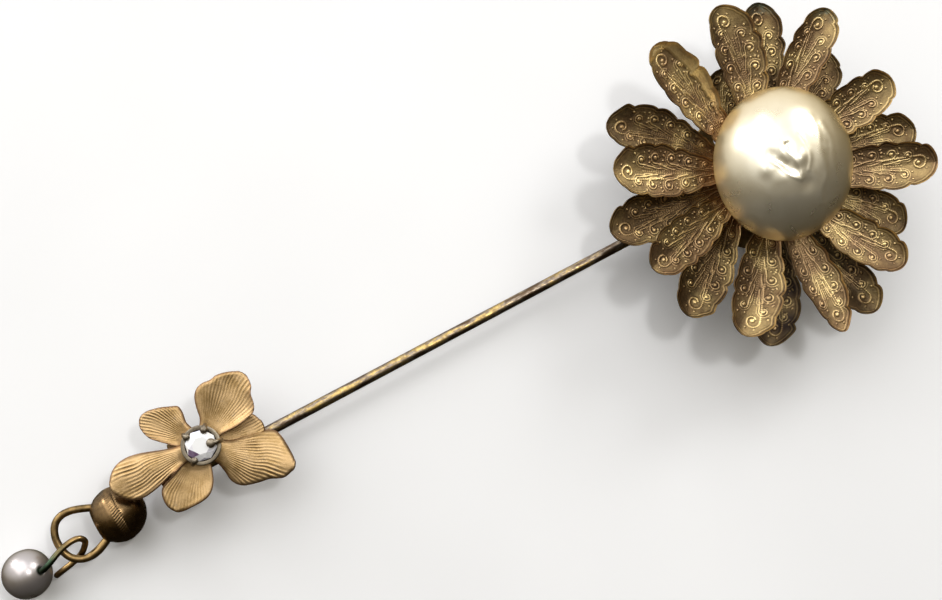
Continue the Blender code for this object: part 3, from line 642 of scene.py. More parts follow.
def petal_ornament():
    """The die's ornament in millimetres along and across a petal: strokes and beads."""
    strokes = []
    beads = []
    hooks = ((3.4, 0.80, 0.38), (5.5, 1.12, 0.50), (7.7, 1.42, 0.56), (9.8, 1.42, 0.56), (11.6, 1.12, 0.46))
    for side in (-1.0, 1.0):
        for index, (x, y, radius) in enumerate(hooks):
            x += 0.22 * side
            start = (x - 2.5, 0.16 + 0.04 * index)
            strokes.append((hook_route(start, (x, y), radius, side), 0.07, 1.0))
            outer = hook_route((x - 2.6, y * 0.55), (x - 0.05, y), radius + 0.26, side, 150.0, 0.0)
            strokes.append((outer, 0.06, 0.45))
            beads.append(((x, y * side), 0.24, 1.0))
            for dx, dy, size in ((-1.05, 0.30, 0.15), (-1.0, -0.2, 0.11), (0.85, 0.62, 0.13)):
                beads.append(((x + dx, (y + dy) * side), size, 0.8))
        for x, y, radius in ((4.5, 0.5, 0.2), (6.6, 0.62, 0.24), (8.8, 0.66, 0.26), (10.9, 0.5, 0.22)):
            strokes.append((hook_route((x - 0.9, 0.25), (x, y), radius, side, 230.0), 0.06, 0.55))
            for dx, dy in ((-0.75, 0.62), (0.5, 0.95), (0.1, 1.45)):
                beads.append(((x + dx, (y + dy) * side), 0.09, 0.7))
    for offset in (-0.2, 0.0, 0.2):
        x = np.linspace(0.2, 11.3 - 9.0 * abs(offset), 80)
        y = offset * (1.0 - 0.35 * x / 12.0)
        strokes.append((np.stack([x, y], axis=1), 0.07, 0.55))
    tip = hook_route((8.6, 0.0), (13.1, 0.55), 0.78, -1.0, 320.0, 0.5)
    strokes.append((tip + np.array((0.0, 0.75)), 0.10, 1.0))
    beads.append(((13.05, 0.18), 0.26, 1.0))
    for x, y in ((12.3, -0.85), (12.1, 0.45), (13.9, -0.5), (14.1, 0.5)):
        beads.append(((x, y), 0.12, 0.7))
    return strokes, beads


ORNAMENT = petal_ornament()


def relief_of(x, y, edge):
    """Height from 0 to 1 of the stamped ornament at arrays of places; edge is the distance in."""
    strokes, beads = ORNAMENT
    flat = np.stack([x.ravel(), y.ravel()], axis=1)
    height = np.zeros(len(flat))
    for route, width, amount in strokes:
        low = route.min(0) - 0.3
        high = route.max(0) + 0.3
        inside = np.all((flat > low) & (flat < high), axis=1)
        spots = flat[inside]
        gap = np.linalg.norm(spots[:, None, :] - route[None, ::2, :], axis=2).min(axis=1)
        height[inside] = np.maximum(height[inside], amount * np.exp(-((gap / width) ** 2)))
    for centre, radius, amount in beads:
        gap = np.linalg.norm(flat - np.array(centre), axis=1) / radius
        dome = np.sqrt(np.clip(1.0 - gap**2, 0.0, 1.0))
        height = np.maximum(height, amount * dome)
    height = height.reshape(x.shape)
    inner_line = 0.4 * np.exp(-(((edge - 0.34) / 0.06) ** 2))
    rim = 0.9 * np.clip(1.0 - edge / 0.14, 0.0, 1.0) ** 0.5
    keep = np.clip((edge - 0.34) / 0.15, 0.0, 1.0)
    return np.maximum(np.maximum(height * keep, inner_line), rim)


def hollow_of(relief, steps=3):
    """How far each place lies below its surroundings, for the dark antiquing."""
    soft = relief.copy()
    for _ in range(steps):
        wide = np.pad(soft, 1, mode="edge")
        soft = (wide[:-2, 1:-1] + wide[2:, 1:-1] + wide[1:-1, :-2] + wide[1:-1, 2:] + soft) / 5.0
    return np.clip((soft - relief) * 4.0, 0.0, 1.0)


def petal_frame_grid():
    """The shared grid of every petal: its share along and its share across."""
    t = np.linspace(0.0, 1.0, PETAL_ROWS)
    along = 0.75 * t + 0.25 * (1.0 - (1.0 - t) ** 2)
    across = np.linspace(-1.0, 1.0, PETAL_COLUMNS)
    along, across = np.meshgrid(along, across, indexing="ij")
    return along, across


def outline_half_width(along, scallop_phase, taper):
    """Half the petal's width in millimetres, with shallow scallops and a rounded tip."""
    half = PETAL_HALF_WIDTH * smooth_stations(PETAL_WIDTHS, along)
    half = half * (1.0 - taper * np.clip((along - 0.62) / 0.38, 0.0, 1.0))
    x = along * NOMINAL_LENGTH + 0.25 * np.sin(1.7 * along * NOMINAL_LENGTH + scallop_phase)
    lobes = np.abs(np.sin(np.pi * (x - scallop_phase) / 2.45)) ** 0.75
    start = np.clip((along - 0.12) / 0.1, 0.0, 1.0)
    fade = np.clip((1.0 - along) / 0.12, 0.0, 1.0)
    depth = 0.30 + 0.14 * np.sin(1.1 * x + 5.0 * scallop_phase)
    half = half + start * fade * (lobes - 0.65) * depth
    end = np.clip((along - 0.87) / 0.13, 0.0, 1.0)
    return half * np.sqrt(np.clip(1.0 - end**2, 0.0, 1.0)) + 0.015


def make_petal(name, petal, hub_z, looks, node, material):
    """One stamped petal: bent from the hub to its tip, cupped, with the die's relief."""
    along, across = petal_frame_grid()
    phase = looks["phase"] + np.where(across > 0.0, 0.0, 0.9)
    half = outline_half_width(along, phase, looks["taper"])
    slope = np.gradient(half, axis=0) / (np.gradient(along, axis=0) * NOMINAL_LENGTH)
    edge = (1.0 - np.abs(across)) * half / np.sqrt(1.0 + slope**2)
    x = along * NOMINAL_LENGTH
    y = across * half
    relief = relief_of(x, y, edge)

    reach = petal["reach"]
    radius = HUB_R + (reach - HUB_R) * along
    sway = petal["tip"] - petal["base"]
    angle = np.radians(petal["base"] + sway * along**1.2)
    side = y * looks["width"]
    shift = looks["root"] * (1.0 - along) * np.clip(along * 5.0, 0.0, 1.0)
    shift = shift + looks["bow"] * np.sin(np.pi * along)
    rise = petal["tip_z"] - hub_z
    height = hub_z + rise * (0.65 * along + 0.35 * along**2)
    level = np.abs(y) / (PETAL_HALF_WIDTH * smooth_stations(PETAL_WIDTHS, along))
    share = 0.8 * level**2 + 0.2 * level
    swell = smooth_stations(PETAL_WIDTHS, along) * along**0.7
    height = height + (PETAL_CUP * share - 0.3) * swell
    height = height + 0.22 * np.clip(1.0 - edge / 0.5, 0.0, 1.0) ** 2 * np.clip(along * 5.0, 0.0, 1.0)
    height = height + side * math.tan(math.radians(looks["roll"])) * along
    fold = np.clip((across * looks["fold_side"] - 0.30) / 0.7, 0.0, 1.0) ** 1.3
    fold = fold * np.clip(along * 2.5, 0.0, 1.0)
    height = height + looks["fold"] * fold
    side = side - looks["fold_side"] * looks["fold"] * 0.45 * fold
    wave = value_noise(np.stack([x, y + looks["phase"] * 40.0], axis=-1), 3.5, 5)
    height = height + 0.18 * wave * along
    flange = np.clip((across * looks["fold_side"] - 0.46) / 0.1, 0.0, 1.0)
    flange = flange * np.clip(along * 4.0 - 0.8, 0.0, 1.0)
    flange = looks["flange"] * np.maximum(flange, np.clip((along - 0.92) / 0.03, 0.0, 1.0))
    relief = relief * (1.0 - flange) + 1.1 * flange
    lift = (relief - RELIEF_MEAN) * RELIEF_HIGH
    side = side + shift
    px = radius * np.cos(angle) - side * np.sin(angle)
    py = radius * np.sin(angle) + side * np.cos(angle)
    top = np.stack([px, py, height + lift], axis=-1)
    drop = np.zeros(top.shape)
    drop[..., 2] = PETAL_SHEET + lift
    points, faces = sheet_solid(top, drop)
    under = np.zeros(len(points) - relief.size)
    # Painted shade: whole petals that lie in shadow are darkened, patchy by noise and less on the raised
    # ornament.
    stain = value_noise(np.stack([x + 30.0 * looks["phase"], y], axis=-1), 1.8, 41)
    painted_shade = looks["painted_shade"] * np.clip(0.75 + 0.6 * stain, 0.0, 1.0) * (1.0 - 0.6 * relief)
    # The underside and the sheet's cut edges get a low relief and a high cavity value: painted shade.
    data = {
        "relief": np.concatenate([relief.ravel(), under + 0.1]),
        "patina_and_shade": np.concatenate([np.maximum(hollow_of(relief), painted_shade).ravel(), under + 0.8]),
        "root": np.concatenate([np.clip(1.0 - along / 0.3, 0.0, 1.0).ravel(), under]),
        "verdigris": np.concatenate(
            [(looks["verdigris"] * np.clip((along - 0.90) / 0.08, 0.0, 1.0)).ravel(), under]
        ),
    }
    return add_piece(name, points, faces, "head", (node,), "antique_gilt", material, data)


# A petal with no bend of its own; the lists below change some of these for each petal
PLAIN_PETAL = {"width": 1.0, "fold_side": 1.0}
PLAIN_PETAL.update(dict.fromkeys(("roll", "fold", "verdigris", "taper", "root", "bow"), 0.0))
PLAIN_PETAL.update(dict.fromkeys(("flange", "painted_shade"), 0.0))
PHASE_STEP = 0.37


def make_rosette(prefix, node, first_deg, material, looks_list):
    """Ten petals and the flat hub they grow from."""
    points = node_points(node)
    radius = np.hypot(points[:, 0], points[:, 1])
    hub_z = float(points[radius < 2.0][:, 2].max())
    for index, petal in enumerate(read_petals(node, first_deg)):
        looks = {**PLAIN_PETAL, "phase": PHASE_STEP * index, **looks_list[index]}
        make_petal(f"{prefix}_petal_{index + 1:02d}", petal, hub_z, looks, node, material)
    top, low, rim = hub_z - 0.03, hub_z - PETAL_SHEET, HUB_R + 0.4
    profile = rounded([(rim, top), (rim, low), (0.9, low), (0.9, top)], 0.08)
    verts, faces = turned(profile, 96)
    even = np.ones(len(verts))
    relief = {"relief": even * 0.35, "patina_and_shade": even * 0.0, "root": even, "verdigris": even * 0.0}
    add_piece(f"{prefix}_hub", verts, faces, "head", (node,), "antique_gilt", material, relief)


UPPER_LOOKS = (
    {"width": 0.91, "roll": 4.0, "root": 0.2, "bow": -0.1},
    {"width": 0.82, "roll": -4.0, "root": 0.7, "bow": -0.3, "verdigris": 0.5},
    {"width": 1.0, "root": -0.4, "bow": -0.9},
    {"width": 0.97, "roll": 5.0, "fold": 0.25, "fold_side": -1.0, "flange": 1.0, "bow": -1.0},
    {"width": 1.04, "bow": 0.2},
    {"width": 0.92, "roll": -5.0, "bow": 0.1},
    {"width": 1.0, "roll": 4.0, "root": 1.6, "bow": 0.7},
    {"width": 0.84, "taper": 0.35, "bow": 0.6},
    {"width": 0.9, "roll": -3.0, "root": 0.1, "bow": -0.6},
    {"width": 0.93, "roll": 4.0, "root": 0.1, "bow": -0.1},
)
# Some lower petals carry painted shade, darkening those that lie in shadow.
LOWER_LOOKS = (
    {"width": 0.9, "root": -0.1, "bow": 0.1},
    {"width": 0.9, "roll": 3.0},
    {"width": 0.92, "bow": -0.3, "verdigris": 0.5},
    {"width": 0.8},
    {"width": 0.95, "roll": -3.0, "root": 0.2, "bow": -0.7, "painted_shade": 0.45},
    {"width": 1.0, "roll": 4.0, "bow": 0.4},
    {"width": 1.0, "root": -0.2, "bow": 0.4},
    {"width": 0.95, "roll": 3.0, "root": 0.5, "bow": 0.8, "painted_shade": 1.1},
    {"width": 0.95, "roll": -4.0, "root": 0.3, "bow": -0.3, "painted_shade": 0.4},
    {"width": 0.9, "bow": 0.3, "painted_shade": 0.3},
)
make_rosette("upper", "upper_rosette", 9.7, UPPER_METAL, UPPER_LOOKS)
make_rosette("lower", "lower_rosette", -8.8, LOWER_METAL, LOWER_LOOKS)


# ---------------------------------------------------------------- head pearl


def unit(v):
    v = np.asarray(v, float)
    return v / np.linalg.norm(v, axis=-1, keepdims=True)


def icosphere(level):
    """Unit directions and triangles of a fine even sphere."""
    bm = bmesh.new()
    bmesh.ops.create_icosphere(bm, subdivisions=level, radius=1.0)
    directions = np.array([v.co[:] for v in bm.verts])
    faces = [tuple(v.index for v in f.verts) for f in bm.faces]
    bm.free()
    return unit(directions), faces


PEARL_LEAN = 0.045
FACE_RIGHT = np.array((0.800, -0.470, 0.372))
FACE_UP = np.array((0.435, 0.882, 0.178))
# Dents and bumps on the creased side of the pearl: (right, up, radius, depth in millimetres)
PEARL_DENTS = (
    (-0.04, 0.17, 0.09, 0.16),
    (0.05, 0.10, 0.07, 0.12),
    (0.17, 0.03, 0.10, 0.20),
    (0.28, -0.02, 0.07, 0.10),
    (0.43, -0.18, 0.11, 0.18),
    (0.143, 0.304, 0.035, 0.16),
    (0.36, 0.36, 0.22, 0.12),
    (0.10, 0.52, 0.20, 0.06),
    (-0.15, -0.02, 0.10, -0.12),
    (0.32, 0.13, 0.09, -0.14),
    (0.02, 0.25, 0.08, -0.07),
)
# Raised creases: (height in millimetres, width, points right and up)
PEARL_CREASES = (
    (0.05, 0.040, ((0.44, 0.64), (0.55, 0.44), (0.58, 0.24), (0.67, -0.04), (0.60, -0.28), (0.60, -0.44))),
    (0.045, 0.036, ((0.58, 0.56), (0.72, 0.34), (0.75, 0.08), (0.82, -0.2))),
    (0.05, 0.024, ((-0.10, 0.10), (0.05, 0.02), (0.18, -0.08), (0.33, -0.14))),
    (0.04, 0.022, ((0.02, 0.33), (0.16, 0.20), (0.30, 0.04), (0.36, -0.12))),
    (0.04, 0.026, ((0.30, 0.44), (0.40, 0.30), (0.46, 0.14), (0.44, -0.02))),
)


def head_pearl_shape(directions):
    """Outward displacement of the baroque pearl's surface, in millimetres, by direction."""
    out = np.cross(FACE_RIGHT, FACE_UP)
    a, b, front = directions @ FACE_RIGHT, directions @ FACE_UP, directions @ out
    flat = np.stack([a, b], axis=1)
    lift = 0.05 * value_noise(directions, 0.55, 3) + 0.02 * value_noise(directions, 0.2, 4)
    seen = np.clip(front * 4.0, 0.0, 1.0)
    for right, up, radius, depth in PEARL_DENTS:
        gap = np.hypot(a - right, b - up) / radius
        lift -= seen * depth * np.exp(-(gap**2))
    for high, width, points in PEARL_CREASES:
        route = smooth_route(points, 12)
        gap = np.linalg.norm(flat[:, None, :] - route[None], axis=2).min(axis=1) / width
        lift += seen * high * np.exp(-(gap**2))
    cluster = np.exp(-(((a - 0.2) / 0.32) ** 2) - ((b - 0.05) / 0.28) ** 2)
    lift += seen * cluster * 0.09 * value_noise(directions, 0.15, 9)
    side = np.exp(-(((a - 0.58) / 0.22) ** 2) - ((b - 0.12) / 0.42) ** 2)
    streaks = np.stack([a * 3.0 + 0.5 * b, b * 0.9, front * 0.5], axis=-1)
    lift += seen * side * 0.075 * value_noise(streaks, 0.26, 17)
    return lift


def make_head_pearl():
    points = node_points("head_pearl")
    low, high = points[:, 2].min(), points[:, 2].max()
    flat = np.hypot(points[:, 0], points[:, 1])
    widest = flat.argmax()
    waist = points[widest, 2]
    at_waist = np.abs(points[:, 2] - waist) < 0.2
    long_r, short_r = flat[at_waist].max(), flat[at_waist].min()
    turn = math.atan2(points[widest, 1], points[widest, 0])
    directions, faces = icosphere(7)
    local = directions @ np.array(Matrix.Rotation(-turn, 3, "Z")).T
    height = np.where(directions[:, 2] > 0.0, high - waist, waist - low)
    shape = np.stack([local[:, 0] * long_r, local[:, 1] * short_r, local[:, 2] * height], axis=1)
    shape = shape @ np.array(Matrix.Rotation(turn, 3, "Z")).T
    shape = shape * 0.99 + directions * head_pearl_shape(directions)[:, None]
    shape[:, 0] -= PEARL_LEAN * (shape[:, 2] + waist - low) + 0.2
    shape[:, 2] += waist
    add_piece("head_pearl_shell", shape, faces, "head", ("head_pearl",), "cream_pearl", HEAD_PEARL)


make_head_pearl()


# ---------------------------------------------------------------- back of the head


def box_mm(node):
    low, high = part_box(node)
    return np.array(low) / MM, np.array(high) / MM


def turned_piece(name, profile, steps, body, node, slot, material, **place):
    """A turned piece from a profile whose corners are eased."""
    verts, faces = turned(profile, steps, **place)
    return add_piece(name, verts, faces, body, (node,), slot, material, sharp=35.0)


def back_piece(name, node, profile, steps, **place):
    """A turned piece of the head's antique gilt back."""
    return turned_piece(name, profile, steps, "head", node, "antique_gilt", BACK_METAL, **place)


def make_head_back():
    """Plaque, its posts, the pierced plate, collar, rivet, cup and the shank's socket."""
    low, high = box_mm("back_plaque")
    semi = (high - low)[:2] / 2.0
    thick = 0.8
    profile = rounded([(0.0, thick), (1.0, thick), (1.0, 0.0), (0.0, 0.0)], 0.22, 5, closed=False)
    verts, faces = turned(profile, 96, closed=False)
    verts = verts * np.array((semi[0], semi[1], 1.0))
    add_piece("plaque", verts, faces, "head", ("back_plaque",), "antique_gilt", BACK_METAL)
    for name, y in (("plaque_post_left", -2.7), ("plaque_post_right", 2.7)):
        ends = [(0.0, high[2]), (0.6, high[2]), (0.6, thick + 0.25), (0.85, thick), (0.0, thick)]
        profile = rounded(ends, 0.1, 3, closed=False)
        place = {"centre": (0.0, y, 0.0), "closed": False}
        back_piece(name, "back_plaque", profile, 32, **place)

    low, high = box_mm("back_plate")
    rim = high[0]
    tube_ends = [(rim, high[2]), (rim, low[2]), (0.7, low[2]), (0.7, high[2])]
    verts, faces = turned(rounded(tube_ends, 0.15), 128)
    plate = add_piece(
        "pierced_plate", verts, faces, "head", ("back_plate",), "antique_gilt", BACK_METAL
    )
    holes = []
    for index in range(10):
        angle = 2.0 * math.pi * index / 10
        centre = (5.9 * math.cos(angle), 5.9 * math.sin(angle), 0.0)
        ends = [(0.0, high[2] + 1.0), (0.95, high[2] + 1.0), (0.95, low[2] - 1.0), (0.0, low[2] - 1.0)]
        holes.append(turned(ends, 32, centre=centre, closed=False))
    cut_out(plate, holes)

    low, high = box_mm("rosette_collar")
    ends = [(high[0], high[2]), (high[0], low[2]), (0.7, low[2]), (0.7, high[2])]
    back_piece("collar", "rosette_collar", rounded(ends, 0.2), 64)
    low, high = box_mm("head_rivet")
    ends = [
        (0.0, high[2]),
        (0.6, high[2]),
        (0.6, low[2] + 0.45),
        (high[0], low[2] + 0.45),
        (high[0] - 0.2, low[2] + 0.05),
        (0.0, low[2]),
    ]
    profile = rounded(ends, 0.12, 4, closed=False)
    turned_piece(
        "rivet", profile, 48, "head", "head_rivet", "dark_brass", DARK_METAL, closed=False
    )
    points = node_points("pearl_cup")
    radius = np.hypot(points[:, 0], points[:, 1])
    rim = radius.max()
    rim_z = points[radius > rim - 0.1][:, 2].max()
    dish = np.linspace(rim, 0.72, 12)
    floor_z = points[:, 2].min() + 0.35
    inner = [(r, floor_z + (rim_z - floor_z) * (r / rim) ** 2) for r in dish[::-1]]
    outer = [(r, z - 0.35) for r, z in inner[::-1]]
    back_piece("cup", "pearl_cup", inner[-1:] + outer + inner[:-1], 96)

    low, high = box_mm("shank_socket")
    length = high[0] - low[0]
    ends = [(1.05, length), (1.05, 0.0), (0.66, 0.0), (0.66, length)]
    centre = (low[0], SPIN[1], SPIN[2])
    back_piece("socket", "shank_socket", rounded(ends, 0.1), 48, axis="x", centre=centre)


def make_shank():
    """The long wire, pointed at the clutch end."""
    low, high = box_mm("shank")
    length = high[0] - low[0]
    tip_r, head_r = 0.62, 0.56
    profile = [(0.0, length), (head_r - 0.1, length), (head_r, length - 0.1)]
    for i in range(40):
        share = (i + 1) / 41.0
        at = length - 0.1 - (length - 2.3) * share
        profile.append((head_r + (tip_r - head_r) * share, at))
    profile += [(tip_r, 2.2), (0.50, 1.6), (0.34, 1.0), (0.16, 0.4), (0.0, 0.0)]
    place = {"axis": "x", "centre": (low[0], SPIN[1], SPIN[2]), "closed": False}
    verts, faces = turned(profile, 48, **place)
    add_piece("shank_wire", verts, faces, "head", ("shank",), "worn_gilt", SHANK_METAL)


make_head_back()
make_shank()


# ---------------------------------------------------------------- clutch ball, sleeve and bracket

BALL_WALL = 0.4
BLOSSOM = centre_of("rhinestone")
GRIP_BORE_R = 0.68
GRIP_SLIT = 0.3
SLEEVE_BORE_R = 1.05
SLEEVE_CAP = 0.35
COLLAR_SPAN = (7.6, 9.7)
COLLAR_R = 1.72
LIP_R = 3.03
MILL_MARKS = 64
MILL_MIDDLE = 0.22
MILL_DEPTH = 0.065
SLOT_HALF = np.array((0.8, 0.8, 0.66))


def ball_arc(radius, start_deg, end_deg, count):
    angles = np.radians(np.linspace(start_deg, end_deg, count))
    return [(radius * math.sin(a), radius * math.cos(a)) for a in angles]


def mill(verts):
    """Presses slanting hatch marks into the outer surface beside the seam."""
    local = verts - BALL
    radius = np.hypot(local[:, 1], local[:, 2])
    turn = np.arctan2(local[:, 2], local[:, 1])
    wave = 0.5 + 0.5 * np.cos(MILL_MARKS * (turn + 0.16 * local[:, 0]))
    span = np.clip((0.5 - np.abs(local[:, 0] - MILL_MIDDLE)) / 0.16, 0.0, 1.0)
    outer = radius > 2.85
    cut = MILL_DEPTH * wave**1.5 * span * outer
    scale = 1.0 - cut / np.maximum(radius, 0.1)
    local[:, 1:] *= scale[:, None]
    return local + BALL


def make_ball():
    """Two half shells; the ring side's lip is crimped over the stem side's edge."""
    steps = MILL_MARKS * 8
    inner_r = BALL_R - BALL_WALL
    place = {"axis": "x", "centre": tuple(BALL)}
    crimp = [(2.945, 0.562)] + [(math.sqrt(LIP_R**2 - x**2), x) for x in np.linspace(0.46, -0.6, 14)]
    outer = ball_arc(BALL_R, 105.0, 143.0, 22)
    flat = rounded([outer[-1], (1.5, -2.42), (0.0, -2.44)], 0.3, 4, closed=False)[1:-1]
    inner = [(0.01, -2.16), (1.5, -2.16)] + ball_arc(inner_r, 142.0, 103.5, 12)
    profile = crimp + outer + flat + [(0.01, -2.44)] + inner + [(2.84, -0.45), (2.84, 0.46)]
    verts, faces = turned(profile, steps, **place)
    ring_place = ("clutch", ("ball_shell_ring_side",), "dark_brass", DARK_METAL)
    ring_side = add_piece("ball_ring_side", mill(verts), faces, *ring_place)
    slots = []
    for side in (-1.0, 1.0):
        middle = BALL + np.array((-2.4, side * 1.85, 0.0))
        slots.append(block(middle - SLOT_HALF, middle + SLOT_HALF))
    cut_out(ring_side, slots)

    outer = [(0.0, BALL_R)] + ball_arc(BALL_R, 1.5, 79.0, 50)
    inner = ball_arc(inner_r, 77.0, 2.0, 20) + [(0.0, inner_r)]
    profile = outer + [(2.74, 0.56), (2.74, -0.34), (2.5, -0.34)] + inner
    verts, faces = turned(profile, steps, closed=False, **place)
    stem_place = ("clutch", ("ball_shell_stem_side",), "dark_brass", DARK_METAL)
    add_piece("ball_stem_side", mill(verts), faces, *stem_place, sharp=50.0)


def make_stem():
    """The grip, the capped sleeve, and the bracket from the ball to the blossom."""
    low, high = box_mm("grip_spring")
    length, outer = high[0] - low[0], (high[1] - low[1]) / 2.0
    ends = [(outer, length), (outer, 0.0), (GRIP_BORE_R, 0.0), (GRIP_BORE_R, length)]
    centre = (low[0], SPIN[1], SPIN[2])
    verts, faces = turned(rounded(ends, 0.06), 48, axis="x", centre=centre)
    grip = add_piece(
        "grip_tube", verts, faces, "grip", ("grip_spring",), "spring_steel", SPRING_METAL
    )
    slit_low = (low[0] - 1.0, SPIN[1] - GRIP_SLIT / 2.0, SPIN[2])
    cut_out(grip, [block(slit_low, (high[0] + 1.0, SPIN[1] + GRIP_SLIT / 2.0, SPIN[2] + 3.0))])

    low, high = box_mm("clutch_sleeve")
    length, outer = high[0] - low[0], (high[1] - low[1]) / 2.0
    cap = [(0.0, 0.0), (outer, 0.0), (outer, length), (SLEEVE_BORE_R, length)]
    cap += [(SLEEVE_BORE_R, SLEEVE_CAP), (0.0, SLEEVE_CAP)]
    centre = (low[0], SPIN[1], SPIN[2])
    profile = rounded(cap, 0.1, closed=False)
    verts, faces = turned(profile[::-1], 64, axis="x", centre=centre, closed=False)
    add_piece(
        "sleeve", verts, faces, "clutch", ("clutch_sleeve",), "dark_brass", DARK_METAL, sharp=40.0
    )

    low, high = box_mm("blossom_bracket")
    start, end = BALL[0] + COLLAR_SPAN[0], BALL[0] + COLLAR_SPAN[1]
    length = end - start
    bore = outer + 0.1
    ends = [(COLLAR_R, length), (COLLAR_R, 0.0), (bore, 0.0), (bore, length)]
    verts, faces = turned(rounded(ends, 0.12), 64, axis="x", centre=(start, SPIN[1], SPIN[2]))
    place = ("clutch", ("blossom_bracket",), "dark_brass", DARK_METAL)
    add_piece("bracket_collar", verts, faces, *place, sharp=40.0)
    corners = ((low[0], 1.3), (start + 0.2, 1.3), (start + 0.2, -0.25), (end - 0.1, -0.25))
    corners += ((end, 1.2), (high[0], 1.3), (high[0], high[1]), (start + 0.3, high[1]))
    corners += ((start, 2.7), (low[0], 2.7))
    verts, faces = slab(corners, high[2] - 0.45, high[2], 0.2, 0.08)
    hole = [(0.0, 9.0), (0.5, 9.0), (0.5, 1.0), (0.0, 1.0)]
    tab = add_piece("bracket_tab", verts, faces, *place, sharp=40.0)
    cut_out(tab, [turned(hole, 32, centre=(BLOSSOM[0], BLOSSOM[1], 0.0), closed=False)])


def slab(outline, low_z, high_z, corner, bevel):
    """A flat plate with rounded corners and bevelled edges from a convex outline."""
    flat = np.array(rounded(outline, corner, 5))
    middle = flat.mean(axis=0)
    reach = np.linalg.norm(flat - middle, axis=1, keepdims=True)
    inset = middle + (flat - middle) * (1.0 - bevel / reach)
    levels = ((inset, high_z), (flat, high_z - bevel), (flat, low_z + bevel), (inset, low_z))
    points = np.concatenate([np.column_stack([ring, np.full(len(ring), z)]) for ring, z in levels])
    count = len(flat)
    faces = grid_faces(4, count, wrap=True)
    faces.append(tuple(range(count)))
    faces.append(tuple(3 * count + i for i in reversed(range(count))))
    return points, faces


make_ball()
make_stem()


# ---------------------------------------------------------------- blossom

BLOSSOM_SHEET = 0.4
VEIN_DEG = 3.7
BLOSSOM_ROWS = 120
BLOSSOM_COLUMNS = 109
# Stations of each blossom petal: (part of its reach, half width left, half width right)
TOP_SHAPE = (
    (0.0, 1.0, 1.0), (0.19, 1.6, 1.5), (0.30, 2.5, 2.1), (0.42, 3.2, 2.6), (0.53, 3.35, 2.95),
    (0.62, 3.1, 3.0), (0.70, 2.6, 2.65), (0.80, 2.25, 1.85), (0.90, 1.5, 1.45), (0.97, 0.75, 0.85),
)
RIGHT_SHAPE = (
    (0.0, 1.0, 1.0), (0.16, 1.1, 1.7), (0.24, 1.35, 2.3), (0.31, 1.8, 2.9), (0.39, 2.25, 3.2),
    (0.49, 2.75, 3.16), (0.57, 3.05, 2.85), (0.66, 3.2, 2.4), (0.75, 2.85, 1.9), (0.84, 2.1, 1.65),
    (0.92, 1.3, 1.3), (0.97, 0.75, 0.7),
)
LONG_SHAPE = (
    (0.0, 0.9, 0.9), (0.15, 1.0, 1.0), (0.30, 1.3, 1.3), (0.45, 1.75, 1.75), (0.60, 2.15, 2.15),
    (0.72, 2.28, 2.25), (0.83, 2.05, 2.05), (0.92, 1.45, 1.5), (0.97, 0.9, 0.95),
)
BROAD_SHAPE = (
    (0.0, 1.1, 1.1), (0.20, 1.3, 1.3), (0.35, 1.7, 1.75), (0.50, 2.2, 2.2), (0.65, 2.45, 2.4),
    (0.78, 2.3, 2.2), (0.88, 1.8, 1.7), (0.95, 1.15, 1.1),
)
LOW_SHAPE = (
    (0.0, 1.1, 1.0), (0.20, 2.0, 1.2), (0.32, 2.4, 1.4), (0.45, 2.64, 1.65), (0.56, 2.62, 1.95),
    (0.66, 2.35, 2.22), (0.76, 1.85, 2.2), (0.85, 1.3, 1.9), (0.93, 0.8, 1.4), (0.98, 0.4, 0.9),
)
LEFT_SHAPE = (
    (0.0, 1.0, 1.0), (0.14, 1.1, 1.2), (0.26, 1.25, 1.5), (0.39, 1.35, 2.3), (0.50, 1.45, 2.66),
    (0.60, 1.52, 2.4), (0.68, 1.56, 2.12), (0.78, 1.42, 1.75), (0.86, 1.2, 1.35), (0.93, 0.9, 0.95),
    (0.98, 0.5, 0.55),
)
BLOSSOM_PETALS = (
    {"name": "blossom_petal_top", "node": "blossom_front_layer", "deg": 33.5, "reach": 8.7,
     "shape": TOP_SHAPE, "rise": 0.75, "dish": 0.55, "curl_left": -0.15, "curl_right": 0.55,
     "veins": 0.7},
    {"name": "blossom_petal_right", "node": "blossom_front_layer", "deg": -41.2, "reach": 10.1,
     "shape": RIGHT_SHAPE, "rise": 0.30, "dish": -0.55, "curl_left": -0.30, "curl_right": 0.10,
     "veins": 1.0},
    {"name": "blossom_petal_long", "node": "blossom_front_layer", "deg": 178.2, "reach": 10.3,
     "shape": LONG_SHAPE, "rise": 0.55, "dish": -0.35, "curl_left": 0.25, "curl_right": -0.25,
     "veins": 1.0, "lip": 0.8},
    {"name": "blossom_petal_low", "node": "blossom_back_layer", "deg": 222.0, "reach": 7.5,
     "shape": LOW_SHAPE, "rise": 0.15, "dish": 0.15, "curl_left": 0.25, "curl_right": 0.0,
     "veins": 0.55},
    {"name": "blossom_petal_left", "node": "blossom_back_layer", "deg": 128.0, "reach": 7.1,
     "shape": LEFT_SHAPE, "rise": 0.40, "dish": 0.25, "curl_left": 0.35, "curl_right": -0.1,
     "veins": 1.0},
    {"name": "blossom_petal_rear", "node": "blossom_back_layer", "deg": -12.0, "reach": 6.8,
     "shape": BROAD_SHAPE, "rise": 0.0, "dish": 0.1, "curl_left": 0.1, "curl_right": 0.0,
     "veins": 0.8, "width": 0.85},
)


